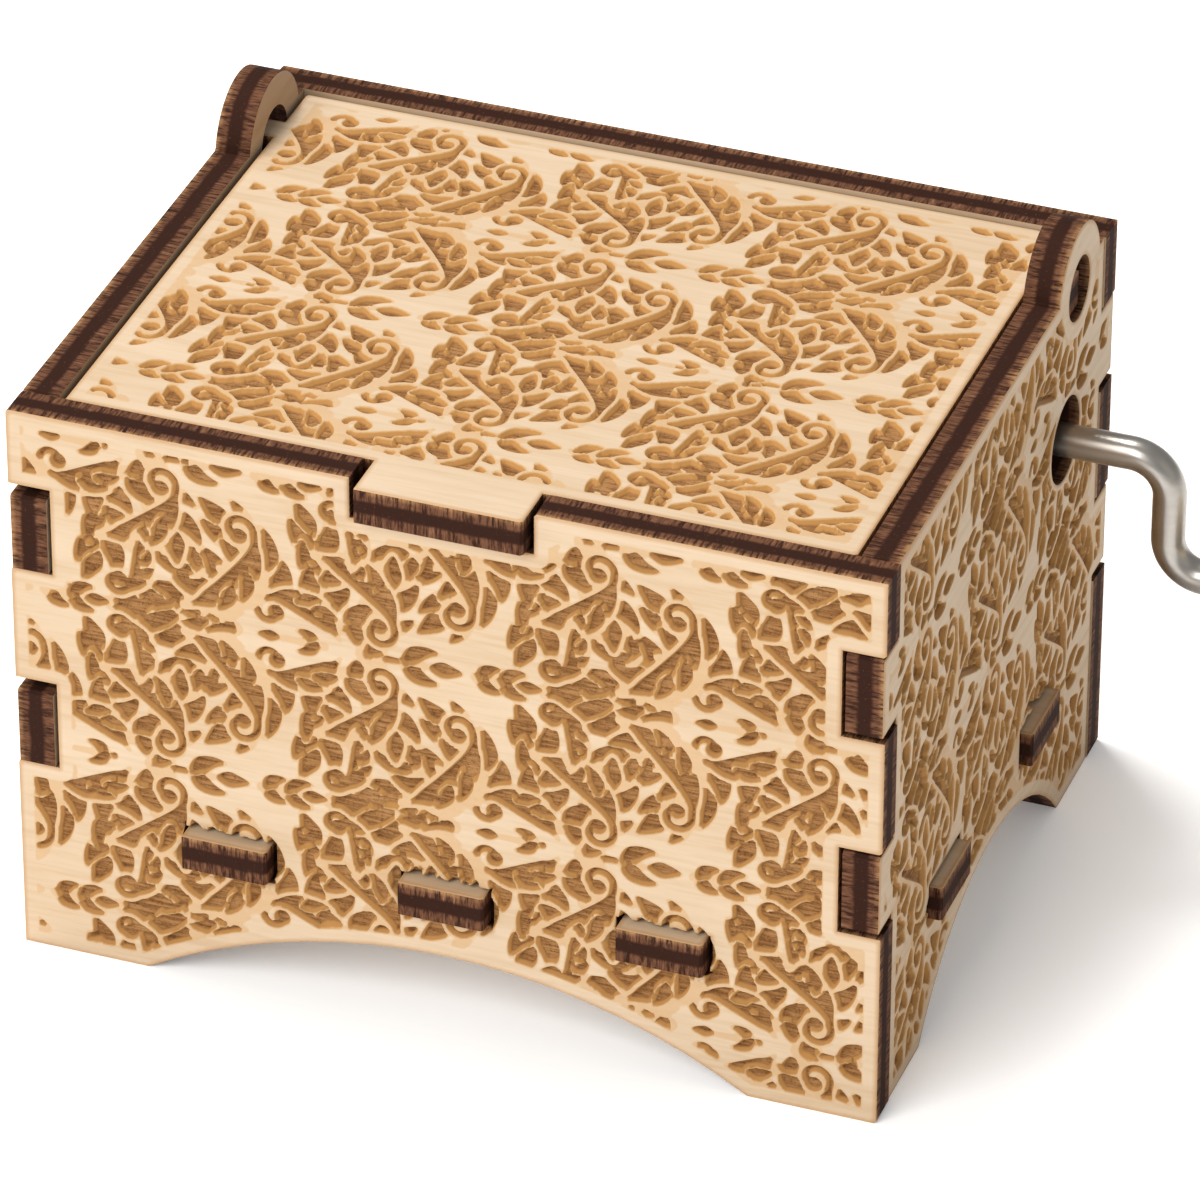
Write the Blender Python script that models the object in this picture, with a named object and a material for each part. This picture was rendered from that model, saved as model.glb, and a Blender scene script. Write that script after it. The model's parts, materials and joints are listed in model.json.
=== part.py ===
"""A small hand-cranked music box: a laser-cut plywood box with a hinged lid, and a comb-and-cylinder
movement inside it that a bent steel crank drives through a worm and a wheel.

Every size below is in millimetres and is turned into metres as the meshes are made. +X points to the
crank, +Y to the back and +Z up. The origin is on the table, under the middle of the whole object.
"""
import math

import bmesh
import bpy
from mathutils import Vector

# ---------------------------------------------------------------- driving dimensions (mm)
BOX_W = 65.6            # over the front panel
BOX_D = 52.4            # front face to back face
BOX_H = 45.6            # rim height above the table
PLY = 2.8               # nominal 3 mm plywood
GAP = 0.1               # air between panels that touch on the real box
PROUD = 0.9             # how far the floor's and the lid's tabs stand out of the box
CRANK_REACH = 24.0      # from the box's right side to the end of the knob

LEFT = -(PROUD + BOX_W + CRANK_REACH) / 2 + PROUD
RIGHT = LEFT + BOX_W
FRONT = -BOX_D / 2
BACK = BOX_D / 2
MID_X = (LEFT + RIGHT) / 2
SIDE_INSET = 0.1        # the side panels' faces lie this far inside the front panel's ends

# finger joints: the heights of the two notches in each end of the front and back panels
NOTCHES = ((15.9, 23.1), (32.4, 39.5))
NOTCH_DEPTH = 3.2
LEFT_TABS = ((15.95, 22.1), (32.45, 38.6))
RIGHT_TABS = ((16.4, 22.8), (32.9, 39.3))

# arches cut under the panels: half the chord on the table, and the rise
FRONT_ARCH = (23.1, 6.55)
SIDE_ARCH = (16.3, 7.7)
ARCH_STEPS = 18

# the floor and its tabs
FLOOR_Z = 10.1
FLOOR_TAB_W = 6.5
FLOOR_TAB_X = (-16.55, 0.1, 16.65)
FLOOR_TAB_Y = (-11.2, 9.8)
SLOT_W = 7.1
SLOT_Z = (9.7, 13.2)

# the lid and its hinge
LID_Z = 42.6
LID_SIDE_GAP = 0.4
LID_END_GAP = 0.35
LID_TAB = (-6.1, 6.45)          # the front tab's ends, from the middle of the box
LID_NOTCH = (-6.8, 6.95)
LID_NOTCH_Z = 42.3
HINGE_Y = BACK - 8.7
HINGE_Z = LID_Z + PLY / 2
HINGE_TAB_W = 2.35
HINGE_TAB_INSET = 0.5           # the tab's end stops short of the side panel's face
HINGE_HOLE_R = 2.5
HINGE_HOLE_Z = 44.6
EAR_R = 4.9
EAR_Z = 44.75

# the movement
BED = (LEFT + 8.0, FRONT + 10.0, 50.0, 39.2, 1.5)      # left, front, length, width, thickness
BED_Z = FLOOR_Z + PLY + GAP
CYLINDER_X = LEFT + 42.0
CYLINDER_R = 6.6
CYLINDER_Y = (FRONT + 18.5, FRONT + 38.0)
BARREL_WALL = 0.5
PIN_HEIGHT = 0.35
PIN_SIZE = 0.36
TOOTH_COUNT = 18
WEIGHTED_TEETH = 4
TOOTH_PITCH = 1.05
TOOTH_W = 0.8
SHAFT_Y = FRONT + 41.5
SHAFT_Z = 33.0
JOURNAL_R = 0.9
WHEEL_TEETH = 26
MODULE = 0.5
WORM_PITCH_R = 2.15
WHEEL_PITCH_R = WHEEL_TEETH * MODULE / 2
ARBOR_Z = SHAFT_Z - WORM_PITCH_R - WHEEL_PITCH_R
ARBOR_R = 0.9
RUNNING = 0.1                   # radial clearance where a part turns in another
WHEEL_THICK = 2.4
SCREW_R = 1.0

# the crank and its knob
ROD_R = 1.25
CRANK_HOLE_R = 3.35
ARM_X = RIGHT + 7.9
BEND_R = 3.0
ARM_LENGTH = 9.5
KNOB_X = (RIGHT + 13.4, RIGHT + CRANK_REACH)
KNOB_R = 4.2

ROUND = 32                      # sides of a middling round piece
FINE = 48

WOOD = (0.80, 0.62, 0.38)
STEEL = (0.62, 0.61, 0.58)
BRASS = (0.78, 0.60, 0.28)
ZINC = (0.55, 0.55, 0.56)


def clear_scene():
    for old in list(bpy.data.objects):
        bpy.data.objects.remove(old, do_unlink=True)


def material(name, color, roughness, metallic):
    made = bpy.data.materials.new(name)
    made.use_nodes = True
    shader = made.node_tree.nodes["Principled BSDF"]
    shader.inputs["Base Color"].default_value = (*color, 1.0)
    shader.inputs["Roughness"].default_value = roughness
    shader.inputs["Metallic"].default_value = metallic
    made.diffuse_color = (*color, 1.0)
    return made


def to_object(name, bm, finish=None, smooth=False, pivot=(0, 0, 0)):
    """Turn a bmesh in millimetres into an object in metres whose origin is the pivot."""
    bmesh.ops.recalc_face_normals(bm, faces=bm.faces)
    for vert in bm.verts:
        vert.co = (vert.co - Vector(pivot)) * 0.001
    mesh = bpy.data.meshes.new(name)
    bm.to_mesh(mesh)
    bm.free()
    made = bpy.data.objects.new(name, mesh)
    made.location = Vector(pivot) * 0.001
    bpy.context.collection.objects.link(made)
    if finish is not None:
        mesh.materials.append(finish)
    if smooth:
        mesh.shade_smooth()
        mesh.set_sharp_from_angle(angle=math.radians(35))
    return made


def cutter(name, bm):
    made = to_object(name, bm)
    made.display_type = "WIRE"
    made.hide_render = True
    return made


def combine(target, tool, operation):
    step = target.modifiers.new(operation.title(), "BOOLEAN")
    step.operation = operation
    step.solver = "EXACT"
    step.object = tool


# ---------------------------------------------------------------- mesh builders, all in millimetres
def extrusion(outline, axis, low, high, bm=None):
    """Extrude a closed outline along an axis. The outline's two numbers fill the other two axes in order."""
    bm = bm or bmesh.new()

    def place(point, along):
        parts = list(point)
        parts.insert(axis, along)
        return Vector(parts)

    bottom = [bm.verts.new(place(point, low)) for point in outline]
    top = [bm.verts.new(place(point, high)) for point in outline]
    bm.faces.new(bottom)
    bm.faces.new(top)
    count = len(outline)
    for i in range(count):
        j = (i + 1) % count
        bm.faces.new((bottom[i], bottom[j], top[j], top[i]))
    return bm


def block(low, high, bm=None):
    corners = ((low[0], low[1]), (high[0], low[1]), (high[0], high[1]), (low[0], high[1]))
    return extrusion(corners, 2, low[2], high[2], bm)


def arc(cx, cy, radius, start, end, steps):
    """Points on an arc, from start to end in degrees."""
    angles = [math.radians(start + (end - start) * i / steps) for i in range(steps + 1)]
    return [(cx + radius * math.cos(a), cy + radius * math.sin(a)) for a in angles]


def turned(profile, axis, centre, sides, bm=None, ring=False):
    """Turn a profile of (distance along the axis, radius) points about the axis through centre.

    A ring's profile is a closed loop round a bore. Any other profile is closed with flat ends.
    """
    bm = bm or bmesh.new()
    u, v = [k for k in range(3) if k != axis]
    rings = []
    for along, radius in profile:
        row = []
        for i in range(sides):
            angle = 2 * math.pi * i / sides
            point = list(centre)
            point[axis] = along
            point[u] += radius * math.cos(angle)
            point[v] += radius * math.sin(angle)
            row.append(bm.verts.new(point))
        rings.append(row)
    pairs = list(zip(rings, rings[1:]))
    if ring:
        pairs.append((rings[-1], rings[0]))
    else:
        bm.faces.new(rings[0])
        bm.faces.new(rings[-1])
    for first, second in pairs:
        for i in range(sides):
            j = (i + 1) % sides
            bm.faces.new((first[i], first[j], second[j], second[i]))
    return bm


def tube_wall(low, high, bore, outer):
    """The closed profile of a plain ring."""
    return [(low, outer), (high, outer), (high, bore), (low, bore)]


def swept(points, radii, sides):
    """A round bar along points that lie in a plane of constant Y."""
    bm = bmesh.new()
    rings = []
    for i, (point, radius) in enumerate(zip(points, radii)):
        before = points[max(i - 1, 0)]
        after = points[min(i + 1, len(points) - 1)]
        tangent = Vector((after[0] - before[0], 0, after[2] - before[2])).normalized()
        sideways = Vector((0, 1, 0))
        upward = sideways.cross(tangent)
        row = []
        for k in range(sides):
            angle = 2 * math.pi * k / sides
            offset = sideways * math.cos(angle) + upward * math.sin(angle)
            row.append(bm.verts.new(Vector(point) + offset * radius))
        rings.append(row)
    bm.faces.new(rings[0])
    bm.faces.new(rings[-1])
    for first, second in zip(rings, rings[1:]):
        for k in range(sides):
            n = (k + 1) % sides
            bm.faces.new((first[k], first[n], second[n], second[k]))
    return bm


# ---------------------------------------------------------------- the plywood box
def arch_points(centre, half_chord, rise, steps=ARCH_STEPS):
    """The arch from its left foot to its right foot, as a shallow arc of a circle."""
    radius = (half_chord ** 2 + rise ** 2) / (2 * rise)
    half = math.degrees(math.asin(half_chord / radius))
    return arc(centre, rise - radius, radius, 90 + half, 90 - half, steps)


def notched_end(edge, inward):
    """The notched end of a front or back panel, from the table up, as (x, z) points."""
    points = [(edge, 0)]
    for low, high in NOTCHES:
        points += [(edge, low), (edge + inward * NOTCH_DEPTH, low)]
        points += [(edge + inward * NOTCH_DEPTH, high), (edge, high)]
    points.append((edge, BOX_H))
    return points


def floor_slots(panel, name, axis, low, high, centres):
    for i, centre in enumerate(centres):
        half = SLOT_W / 2
        outline = ((centre - half, SLOT_Z[0]), (centre + half, SLOT_Z[0]))
        outline += ((centre + half, SLOT_Z[1]), (centre - half, SLOT_Z[1]))
        combine(panel, cutter(f"{name}_slot_{i}", extrusion(outline, axis, low, high)), "DIFFERENCE")


def make_end_panel(name, low_y, has_lid_notch, finish):
    """The front or the back panel."""
    outline = arch_points(MID_X, *FRONT_ARCH)
    outline += notched_end(RIGHT, -1)
    if has_lid_notch:
        left, right = [MID_X + x for x in LID_NOTCH]
        outline += [(right, BOX_H), (right, LID_NOTCH_Z), (left, LID_NOTCH_Z), (left, BOX_H)]
    outline += notched_end(LEFT, 1)[::-1]
    panel = to_object(name, extrusion(outline, 1, low_y, low_y + PLY), finish)
    floor_slots(panel, name, 1, low_y - 1, low_y + PLY + 1, [MID_X + x for x in FLOOR_TAB_X])
    return panel


def make_side_panel(name, low_x, tabs, finish):
    """A side panel, with its tabs at both ends and the hinge ear on top."""
    front = FRONT + PLY + GAP
    back = BACK - PLY - GAP
    outline = [(front, 0)] + arch_points(0, *SIDE_ARCH) + [(back, 0)]
    for low, high in tabs:
        outline += [(back, low), (BACK, low), (BACK, high), (back, high)]
    meet = math.degrees(math.asin((BOX_H - EAR_Z) / EAR_R))
    outline += [(back, BOX_H)] + arc(HINGE_Y, EAR_Z, EAR_R, meet, 180 - meet, 20) + [(front, BOX_H)]
    for low, high in reversed(tabs):
        outline += [(front, high), (FRONT, high), (FRONT, low), (front, low)]
    panel = to_object(name, extrusion(outline, 0, low_x, low_x + PLY), finish)
    floor_slots(panel, name, 0, low_x - 1, low_x + PLY + 1, FLOOR_TAB_Y)
    hole = turned([(low_x - 1, HINGE_HOLE_R), (low_x + PLY + 1, HINGE_HOLE_R)], 0,
                  (0, HINGE_Y, HINGE_HOLE_Z), FINE)
    combine(panel, cutter(f"{name}_hinge_hole", hole), "DIFFERENCE")
    return panel


def make_floor(finish):
    left = LEFT + SIDE_INSET + PLY + GAP
    right = RIGHT - SIDE_INSET - PLY - GAP
    front = FRONT + PLY + GAP
    back = BACK - PLY - GAP
    half = FLOOR_TAB_W / 2
    outline = [(left, front)]
    for x in FLOOR_TAB_X:
        x += MID_X
        outline += [(x - half, front), (x - half, FRONT - PROUD), (x + half, FRONT - PROUD), (x + half, front)]
    outline.append((right, front))
    for y in FLOOR_TAB_Y:
        reach = RIGHT - SIDE_INSET + PROUD
        outline += [(right, y - half), (reach, y - half), (reach, y + half), (right, y + half)]
    outline.append((right, back))
    for x in reversed(FLOOR_TAB_X):
        x += MID_X
        outline += [(x + half, back), (x + half, BACK + PROUD), (x - half, BACK + PROUD), (x - half, back)]
    outline.append((left, back))
    for y in reversed(FLOOR_TAB_Y):
        reach = LEFT + SIDE_INSET - PROUD
        outline += [(left, y + half), (reach, y + half), (reach, y - half), (left, y - half)]
    floor = to_object("floor_panel", extrusion(outline, 2, FLOOR_Z, FLOOR_Z + PLY), finish)
    for i, (x, y) in enumerate(bed_screw_places()):
        hole = turned([(FLOOR_Z - 1, SCREW_R + 0.2), (FLOOR_Z + PLY + 1, SCREW_R + 0.2)], 2, (x, y, 0), 16)
        combine(floor, cutter(f"floor_screw_hole_{i}", hole), "DIFFERENCE")
    return floor


def make_lid(finish):
    left = LEFT + SIDE_INSET + PLY + LID_SIDE_GAP
    right = RIGHT - SIDE_INSET - PLY - LID_SIDE_GAP
    front = FRONT + PLY + LID_END_GAP
    back = BACK - PLY - LID_END_GAP
    half = HINGE_TAB_W / 2
    tab_left = LEFT + SIDE_INSET + HINGE_TAB_INSET
    tab_right = RIGHT - SIDE_INSET - HINGE_TAB_INSET
    outline = [(left, front), (MID_X + LID_TAB[0], front), (MID_X + LID_TAB[0], FRONT - PROUD)]
    outline += [(MID_X + LID_TAB[1], FRONT - PROUD), (MID_X + LID_TAB[1], front), (right, front)]
    outline += [(right, HINGE_Y - half), (tab_right, HINGE_Y - half), (tab_right, HINGE_Y + half)]
    outline += [(right, HINGE_Y + half), (right, back), (left, back), (left, HINGE_Y + half)]
    outline += [(tab_left, HINGE_Y + half), (tab_left, HINGE_Y - half), (left, HINGE_Y - half)]
    lid = extrusion(outline, 2, LID_Z, LID_Z + PLY)
    return to_object("lid", lid, finish, pivot=(MID_X, HINGE_Y, HINGE_Z))


# ---------------------------------------------------------------- the movement's fixed pieces
COMB_REST_Z = BED_Z + 9.9
COMB_BASE = (LEFT + 10.3, LEFT + 19.0)
COMB_TIP_X = CYLINDER_X - CYLINDER_R - PIN_HEIGHT - 0.15
COMB_SCREW_Y = (FRONT + 22.5, FRONT + 33.9)
COMB_SCREW_X = LEFT + 14.3
BRACKET_T = 1.6
BRACKET_X = (CYLINDER_X - 9.3, CYLINDER_X + 7.7)
ARBOR_BRACKET_Y = (FRONT + 15.0, FRONT + 44.6)


def bed_screw_places():
    x0, y0, length, width, _ = BED
    inset = 3.4
    return [(x, y) for x in (x0 + inset, x0 + length - inset) for y in (y0 + inset, y0 + width - inset)]


def tooth_centres():
    middle = (CYLINDER_Y[0] + CYLINDER_Y[1]) / 2
    return [middle + (i - (TOOTH_COUNT - 1) / 2) * TOOTH_PITCH for i in range(TOOTH_COUNT)]


def drill(target, name, x, y, low, high, radius):
    combine(target, cutter(name, turned([(low, radius), (high, radius)], 2, (x, y, 0), 16)), "DIFFERENCE")


def make_bed_plate(finish):
    x0, y0, length, width, thick = BED
    corner = 2.0
    outline = arc(x0 + length - corner, y0 + corner, corner, -90, 0, 4)
    outline += arc(x0 + length - corner, y0 + width - corner, corner, 0, 90, 4)
    outline += arc(x0 + corner, y0 + width - corner, corner, 90, 180, 4)
    outline += arc(x0 + corner, y0 + corner, corner, 180, 270, 4)
    bed = to_object("bed_plate", extrusion(outline, 2, BED_Z, BED_Z + thick), finish)
    centres = tooth_centres()
    ledge = block((COMB_BASE[0] - 0.5, centres[0] - 1.2, BED_Z + thick / 2),
                  (COMB_BASE[1] - 0.4, centres[-1] + 1.2, COMB_REST_Z))
    combine(bed, cutter("comb_ledge", ledge), "UNION")
    for i, (x, y) in enumerate(bed_screw_places()):
        drill(bed, f"bed_hole_{i}", x, y, BED_Z - 1, BED_Z + thick + 1, SCREW_R + GAP)
    for i, y in enumerate(COMB_SCREW_Y):
        drill(bed, f"ledge_hole_{i}", COMB_SCREW_X, y, COMB_REST_Z - 6, COMB_REST_Z + 1, SCREW_R + GAP)
    for i, (x, y) in enumerate(bracket_screw_places()):
        drill(bed, f"foot_hole_{i}", x, y, BED_Z - 1, BED_Z + thick + 1, SCREW_R + GAP)
    return bed


def bracket_screw_places():
    """Two screws hold the crank bracket, and one holds each arbor bracket."""
    places = [(CYLINDER_X - 5.4, SHAFT_Y - 0.7), (CYLINDER_X + 5.4, SHAFT_Y - 0.7)]
    places.append((CYLINDER_X, ARBOR_BRACKET_Y[0] - 2.6))
    places.append((CYLINDER_X, ARBOR_BRACKET_Y[1] + BRACKET_T + 1.5))
    return places


def make_comb(finish):
    """The steel comb: a thick base with a slanting front edge, and thin teeth, long ones at the front."""
    centres = tooth_centres()
    back_x, front_x = COMB_BASE
    slant = 6.0
    edge = 0.55
    base = [(back_x, centres[0] - edge), (front_x, centres[0] - edge)]
    base += [(front_x + slant, centres[-1] + edge), (back_x, centres[-1] + edge)]
    comb = to_object("comb", extrusion(base, 2, COMB_REST_Z + GAP, COMB_REST_Z + 2.0), finish)
    teeth = bmesh.new()
    for i, y in enumerate(centres):
        root = front_x - 0.6 + slant * i / (TOOTH_COUNT - 1)
        low = (root, y - TOOTH_W / 2, COMB_REST_Z + 1.1)
        block(low, (COMB_TIP_X, y + TOOTH_W / 2, COMB_REST_Z + 1.9), teeth)
    combine(comb, cutter("comb_teeth", teeth), "UNION")
    for i, y in enumerate(COMB_SCREW_Y):
        drill(comb, f"comb_hole_{i}", COMB_SCREW_X, y, COMB_REST_Z - 1, COMB_REST_Z + 4, SCREW_R + 0.15)
    return comb


def make_comb_weights(finish):
    """Lead blocks under the tips of the longest teeth, which bring them down to their low notes."""
    for i, y in enumerate(tooth_centres()[:WEIGHTED_TEETH]):
        length = 3.6 - 0.5 * i
        low = (COMB_TIP_X - 1.6 - length, y - 0.35, COMB_REST_Z - 0.3)
        to_object(f"comb_weight_{i + 1}", block(low, (COMB_TIP_X - 1.6, y + 0.35, COMB_REST_Z + 1.0)), finish)


def screw_profile(head_base, head_height, head_r, shank_end):
    """A pan-head screw along Z: the head stands on head_base and the shank runs to shank_end."""
    side = 1 if head_height > 0 else -1
    rounding = 0.25 * side
    top = head_base + head_height
    return [(top, head_r * 0.7), (top - rounding, head_r), (head_base, head_r),
            (head_base, SCREW_R), (shank_end, SCREW_R)]


def copies(first, names, moves):
    """Copies of a piece that share its mesh, each moved from the first one by millimetres."""
    for name, move in zip(names, moves):
        copy = bpy.data.objects.new(name, first.data)
        copy.location = first.location + Vector(move) * 0.001
        bpy.context.collection.objects.link(copy)


def make_screws(names, places, head_base, head_height, head_r, shank_end, finish):
    x0, y0 = places[0]
    profile = screw_profile(head_base, head_height, head_r, shank_end)
    bm = turned(profile, 2, (x0, y0, 0), 16)
    first = to_object(names[0], bm, finish, smooth=True, pivot=(x0, y0, head_base))
    copies(first, names[1:], [(x - x0, y - y0, 0) for x, y in places[1:]])


def make_arbor_bracket(name, low_y, foot, finish):
    """A bent sheet bracket: a foot on the bed, and an upright with a round top that holds the arbor."""
    half = 3.5
    low_z = BED_Z + BED[4] + GAP
    outline = [(CYLINDER_X - half, low_z), (CYLINDER_X + half, low_z)]
    outline += arc(CYLINDER_X, ARBOR_Z, half, 0, 180, 12)
    bracket = to_object(name, extrusion(outline, 1, low_y, low_y + BRACKET_T), finish)
    sole = (low_y - 4.6, low_y + 0.4) if foot < 0 else (low_y + BRACKET_T - 0.4, low_y + BRACKET_T + 2.9)
    slab = block((CYLINDER_X - half + 0.01, sole[0], low_z + 0.01), (CYLINDER_X + half - 0.01, sole[1], low_z + 1.3))
    combine(bracket, cutter(f"{name}_foot", slab), "UNION")
    bore = turned([(low_y - 1, ARBOR_R + RUNNING), (low_y + BRACKET_T + 1, ARBOR_R + RUNNING)], 1,
                  (CYLINDER_X, 0, ARBOR_Z), 24)
    combine(bracket, cutter(f"{name}_bore", bore), "DIFFERENCE")
    index = 2 if foot < 0 else 3
    x, y = bracket_screw_places()[index]
    drill(bracket, f"{name}_screw_hole", x, y, low_z - 1, low_z + 3, SCREW_R + GAP)
    return bracket


def make_crank_bracket(finish):
    """A U of sheet that straddles the worm wheel and carries the crank's shaft in its two uprights."""
    half = 2.9
    low_z = BED_Z + BED[4] + GAP
    inner = BRACKET_X[0] + BRACKET_T
    outer = BRACKET_X[1]
    top = SHAFT_Z + half
    outline = [(BRACKET_X[0], low_z), (outer + BRACKET_T, low_z), (outer + BRACKET_T, top), (outer, top)]
    outline += [(outer, low_z + BRACKET_T), (inner, low_z + BRACKET_T), (inner, top), (BRACKET_X[0], top)]
    bracket = to_object("crank_bracket", extrusion(outline, 1, SHAFT_Y - half, SHAFT_Y + half - 0.8), finish)
    bore = turned([(BRACKET_X[0] - 1, BUSH_R + GAP), (outer + BRACKET_T + 1, BUSH_R + GAP)], 0,
                  (0, SHAFT_Y, SHAFT_Z), 24)
    combine(bracket, cutter("bush_seats", bore), "DIFFERENCE")
    for i, (x, y) in enumerate(bracket_screw_places()[:2]):
        drill(bracket, f"bracket_hole_{i}", x, y, low_z - 1, low_z + 3, SCREW_R + GAP)
    return bracket


BUSH_R = 1.6
BUSH_FLANGE_R = 2.2


def make_bushes(finish):
    """Two flanged bushes, their flanges on the outer faces of the crank bracket."""
    bore = JOURNAL_R + RUNNING
    faces = (("inner_crank_bush", BRACKET_X[0], -1), ("outer_crank_bush", BRACKET_X[1] + BRACKET_T, 1))
    for name, face, out in faces:
        flange = face + out * GAP
        profile = [(flange + out * 0.6, bore), (flange + out * 0.6, BUSH_FLANGE_R), (flange, BUSH_FLANGE_R)]
        profile += [(flange, BUSH_R), (face - out * BRACKET_T, BUSH_R), (face - out * BRACKET_T, bore)]
        bush = turned(profile, 0, (0, SHAFT_Y, SHAFT_Z), 24, ring=True)
        to_object(name, bush, finish, smooth=True, pivot=(face, SHAFT_Y, SHAFT_Z))


# ---------------------------------------------------------------- the pieces that turn with the cylinder
def pin_places():
    """(tooth, angle in degrees) for each pin: an even, made-up scatter that plays no known tune."""
    places = []
    golden = 137.508
    for tooth in range(TOOTH_COUNT):
        count = 3 + (tooth * 5) % 3
        for k in range(count):
            places.append((tooth, (tooth * golden + k * 360 / count + 11 * (k % 2)) % 360))
    return places


def make_barrel(finish):
    """The brass barrel, with the pins that lift the comb's teeth."""
    low, high = CYLINDER_Y
    profile = tube_wall(low, high, CYLINDER_R - BARREL_WALL, CYLINDER_R)
    pivot = (CYLINDER_X, (low + high) / 2, ARBOR_Z)
    barrel = turned(profile, 1, (CYLINDER_X, 0, ARBOR_Z), FINE, ring=True)
    barrel = to_object("cylinder_barrel", barrel, finish, smooth=True, pivot=pivot)
    centres = tooth_centres()
    pins = bmesh.new()
    for tooth, angle in pin_places():
        turn = math.radians(angle)
        radial = Vector((math.cos(turn), 0, math.sin(turn)))
        around = Vector((-math.sin(turn), 0, math.cos(turn)))
        along = Vector((0, 1, 0))
        base = Vector((CYLINDER_X, centres[tooth], ARBOR_Z))
        half = PIN_SIZE / 2
        inner = CYLINDER_R - BARREL_WALL * 0.6
        verts = []
        for reach in (inner, CYLINDER_R + PIN_HEIGHT):
            for a, b in ((-1, -1), (1, -1), (1, 1), (-1, 1)):
                verts.append(pins.verts.new(base + radial * reach + around * half * a + along * half * b))
        pins.faces.new(verts[:4])
        pins.faces.new(verts[4:])
        for i in range(4):
            j = (i + 1) % 4
            pins.faces.new((verts[i], verts[j], verts[j + 4], verts[i + 4]))
    combine(barrel, cutter("cylinder_pins", pins), "UNION")
    return barrel


def make_end_cap(name, low, high, finish):
    profile = tube_wall(low, high, ARBOR_R + GAP, CYLINDER_R - BARREL_WALL - GAP)
    cap = turned(profile, 1, (CYLINDER_X, 0, ARBOR_Z), FINE, ring=True)
    return to_object(name, cap, finish, smooth=True, pivot=(CYLINDER_X, low, ARBOR_Z))


def make_arbor(finish):
    low = ARBOR_BRACKET_Y[0] - 0.8
    high = ARBOR_BRACKET_Y[1] + BRACKET_T + 0.8
    chamfer = 0.25
    profile = [(low, ARBOR_R - chamfer), (low + chamfer, ARBOR_R), (high - chamfer, ARBOR_R), (high, ARBOR_R - chamfer)]
    arbor = turned(profile, 1, (CYLINDER_X, 0, ARBOR_Z), 24)
    return to_object("cylinder_arbor", arbor, finish, smooth=True, pivot=(CYLINDER_X, low, ARBOR_Z))


def make_worm_wheel(finish):
    """The wheel that the worm drives. A tooth space stands straight up, under the worm's thread."""
    root_r = WHEEL_PITCH_R - 0.65
    tip_r = WHEEL_PITCH_R + 0.43
    root_half = 0.40
    tip_half = 0.17
    outline = []
    for tooth in range(WHEEL_TEETH):
        middle = math.pi / 2 + (tooth + 0.5) * 2 * math.pi / WHEEL_TEETH
        for radius, offset in ((root_r, -root_half), (tip_r, -tip_half), (tip_r, tip_half), (root_r, root_half)):
            angle = middle + offset / radius
            outline.append((CYLINDER_X + radius * math.cos(angle), ARBOR_Z + radius * math.sin(angle)))
    half = WHEEL_THICK / 2
    wheel = extrusion(outline, 1, SHAFT_Y - half, SHAFT_Y + half)
    wheel = to_object("worm_wheel", wheel, finish, pivot=(CYLINDER_X, SHAFT_Y, ARBOR_Z))
    bore = turned([(SHAFT_Y - 3, ARBOR_R + GAP), (SHAFT_Y + 3, ARBOR_R + GAP)], 1, (CYLINDER_X, 0, ARBOR_Z), 24)
    combine(wheel, cutter("wheel_bore", bore), "DIFFERENCE")
    return wheel


# ---------------------------------------------------------------- the pieces that turn with the crank
def crank_path():
    """The crank's centre line and radius: a thin journal, the shaft, two bends and the knob's spindle."""
    y = SHAFT_Y
    low_z = SHAFT_Z - ARM_LENGTH
    shoulder = BRACKET_X[1] + BRACKET_T + 2.2
    line = [(LEFT + 30.0, SHAFT_Z, JOURNAL_R - 0.2), (LEFT + 30.2, SHAFT_Z, JOURNAL_R)]
    line += [(shoulder, SHAFT_Z, JOURNAL_R), (shoulder + 0.35, SHAFT_Z, ROD_R)]
    for x, z in arc(ARM_X - BEND_R, SHAFT_Z - BEND_R, BEND_R, 90, 0, 8):
        line.append((x, z, ROD_R))
    for x, z in arc(ARM_X + BEND_R, low_z + BEND_R, BEND_R, 180, 270, 8):
        line.append((x, z, ROD_R))
    head = KNOB_X[1] - 1.1
    line += [(head - 1.0, low_z, ROD_R), (head - 0.7, low_z, ROD_R + 0.6)]
    line += [(head - 0.1, low_z, ROD_R + 0.6), (head + 0.1, low_z, ROD_R + 0.3)]
    return [(x, y, z) for x, z, _ in line], [radius for _, _, radius in line]


def make_crank_rod(finish):
    points, radii = crank_path()
    rod = swept(points, radii, 16)
    rod = to_object("crank_rod", rod, finish, smooth=True, pivot=(RIGHT, SHAFT_Y, SHAFT_Z))
    low_z = SHAFT_Z - ARM_LENGTH
    fin_x = ARM_X + BEND_R + 0.6
    fins = block((fin_x, SHAFT_Y - 1.9, low_z - 0.35), (fin_x + 1.1, SHAFT_Y + 1.9, low_z + 0.35))
    combine(rod, cutter("crimped_fins", fins), "UNION")
    return rod


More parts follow.
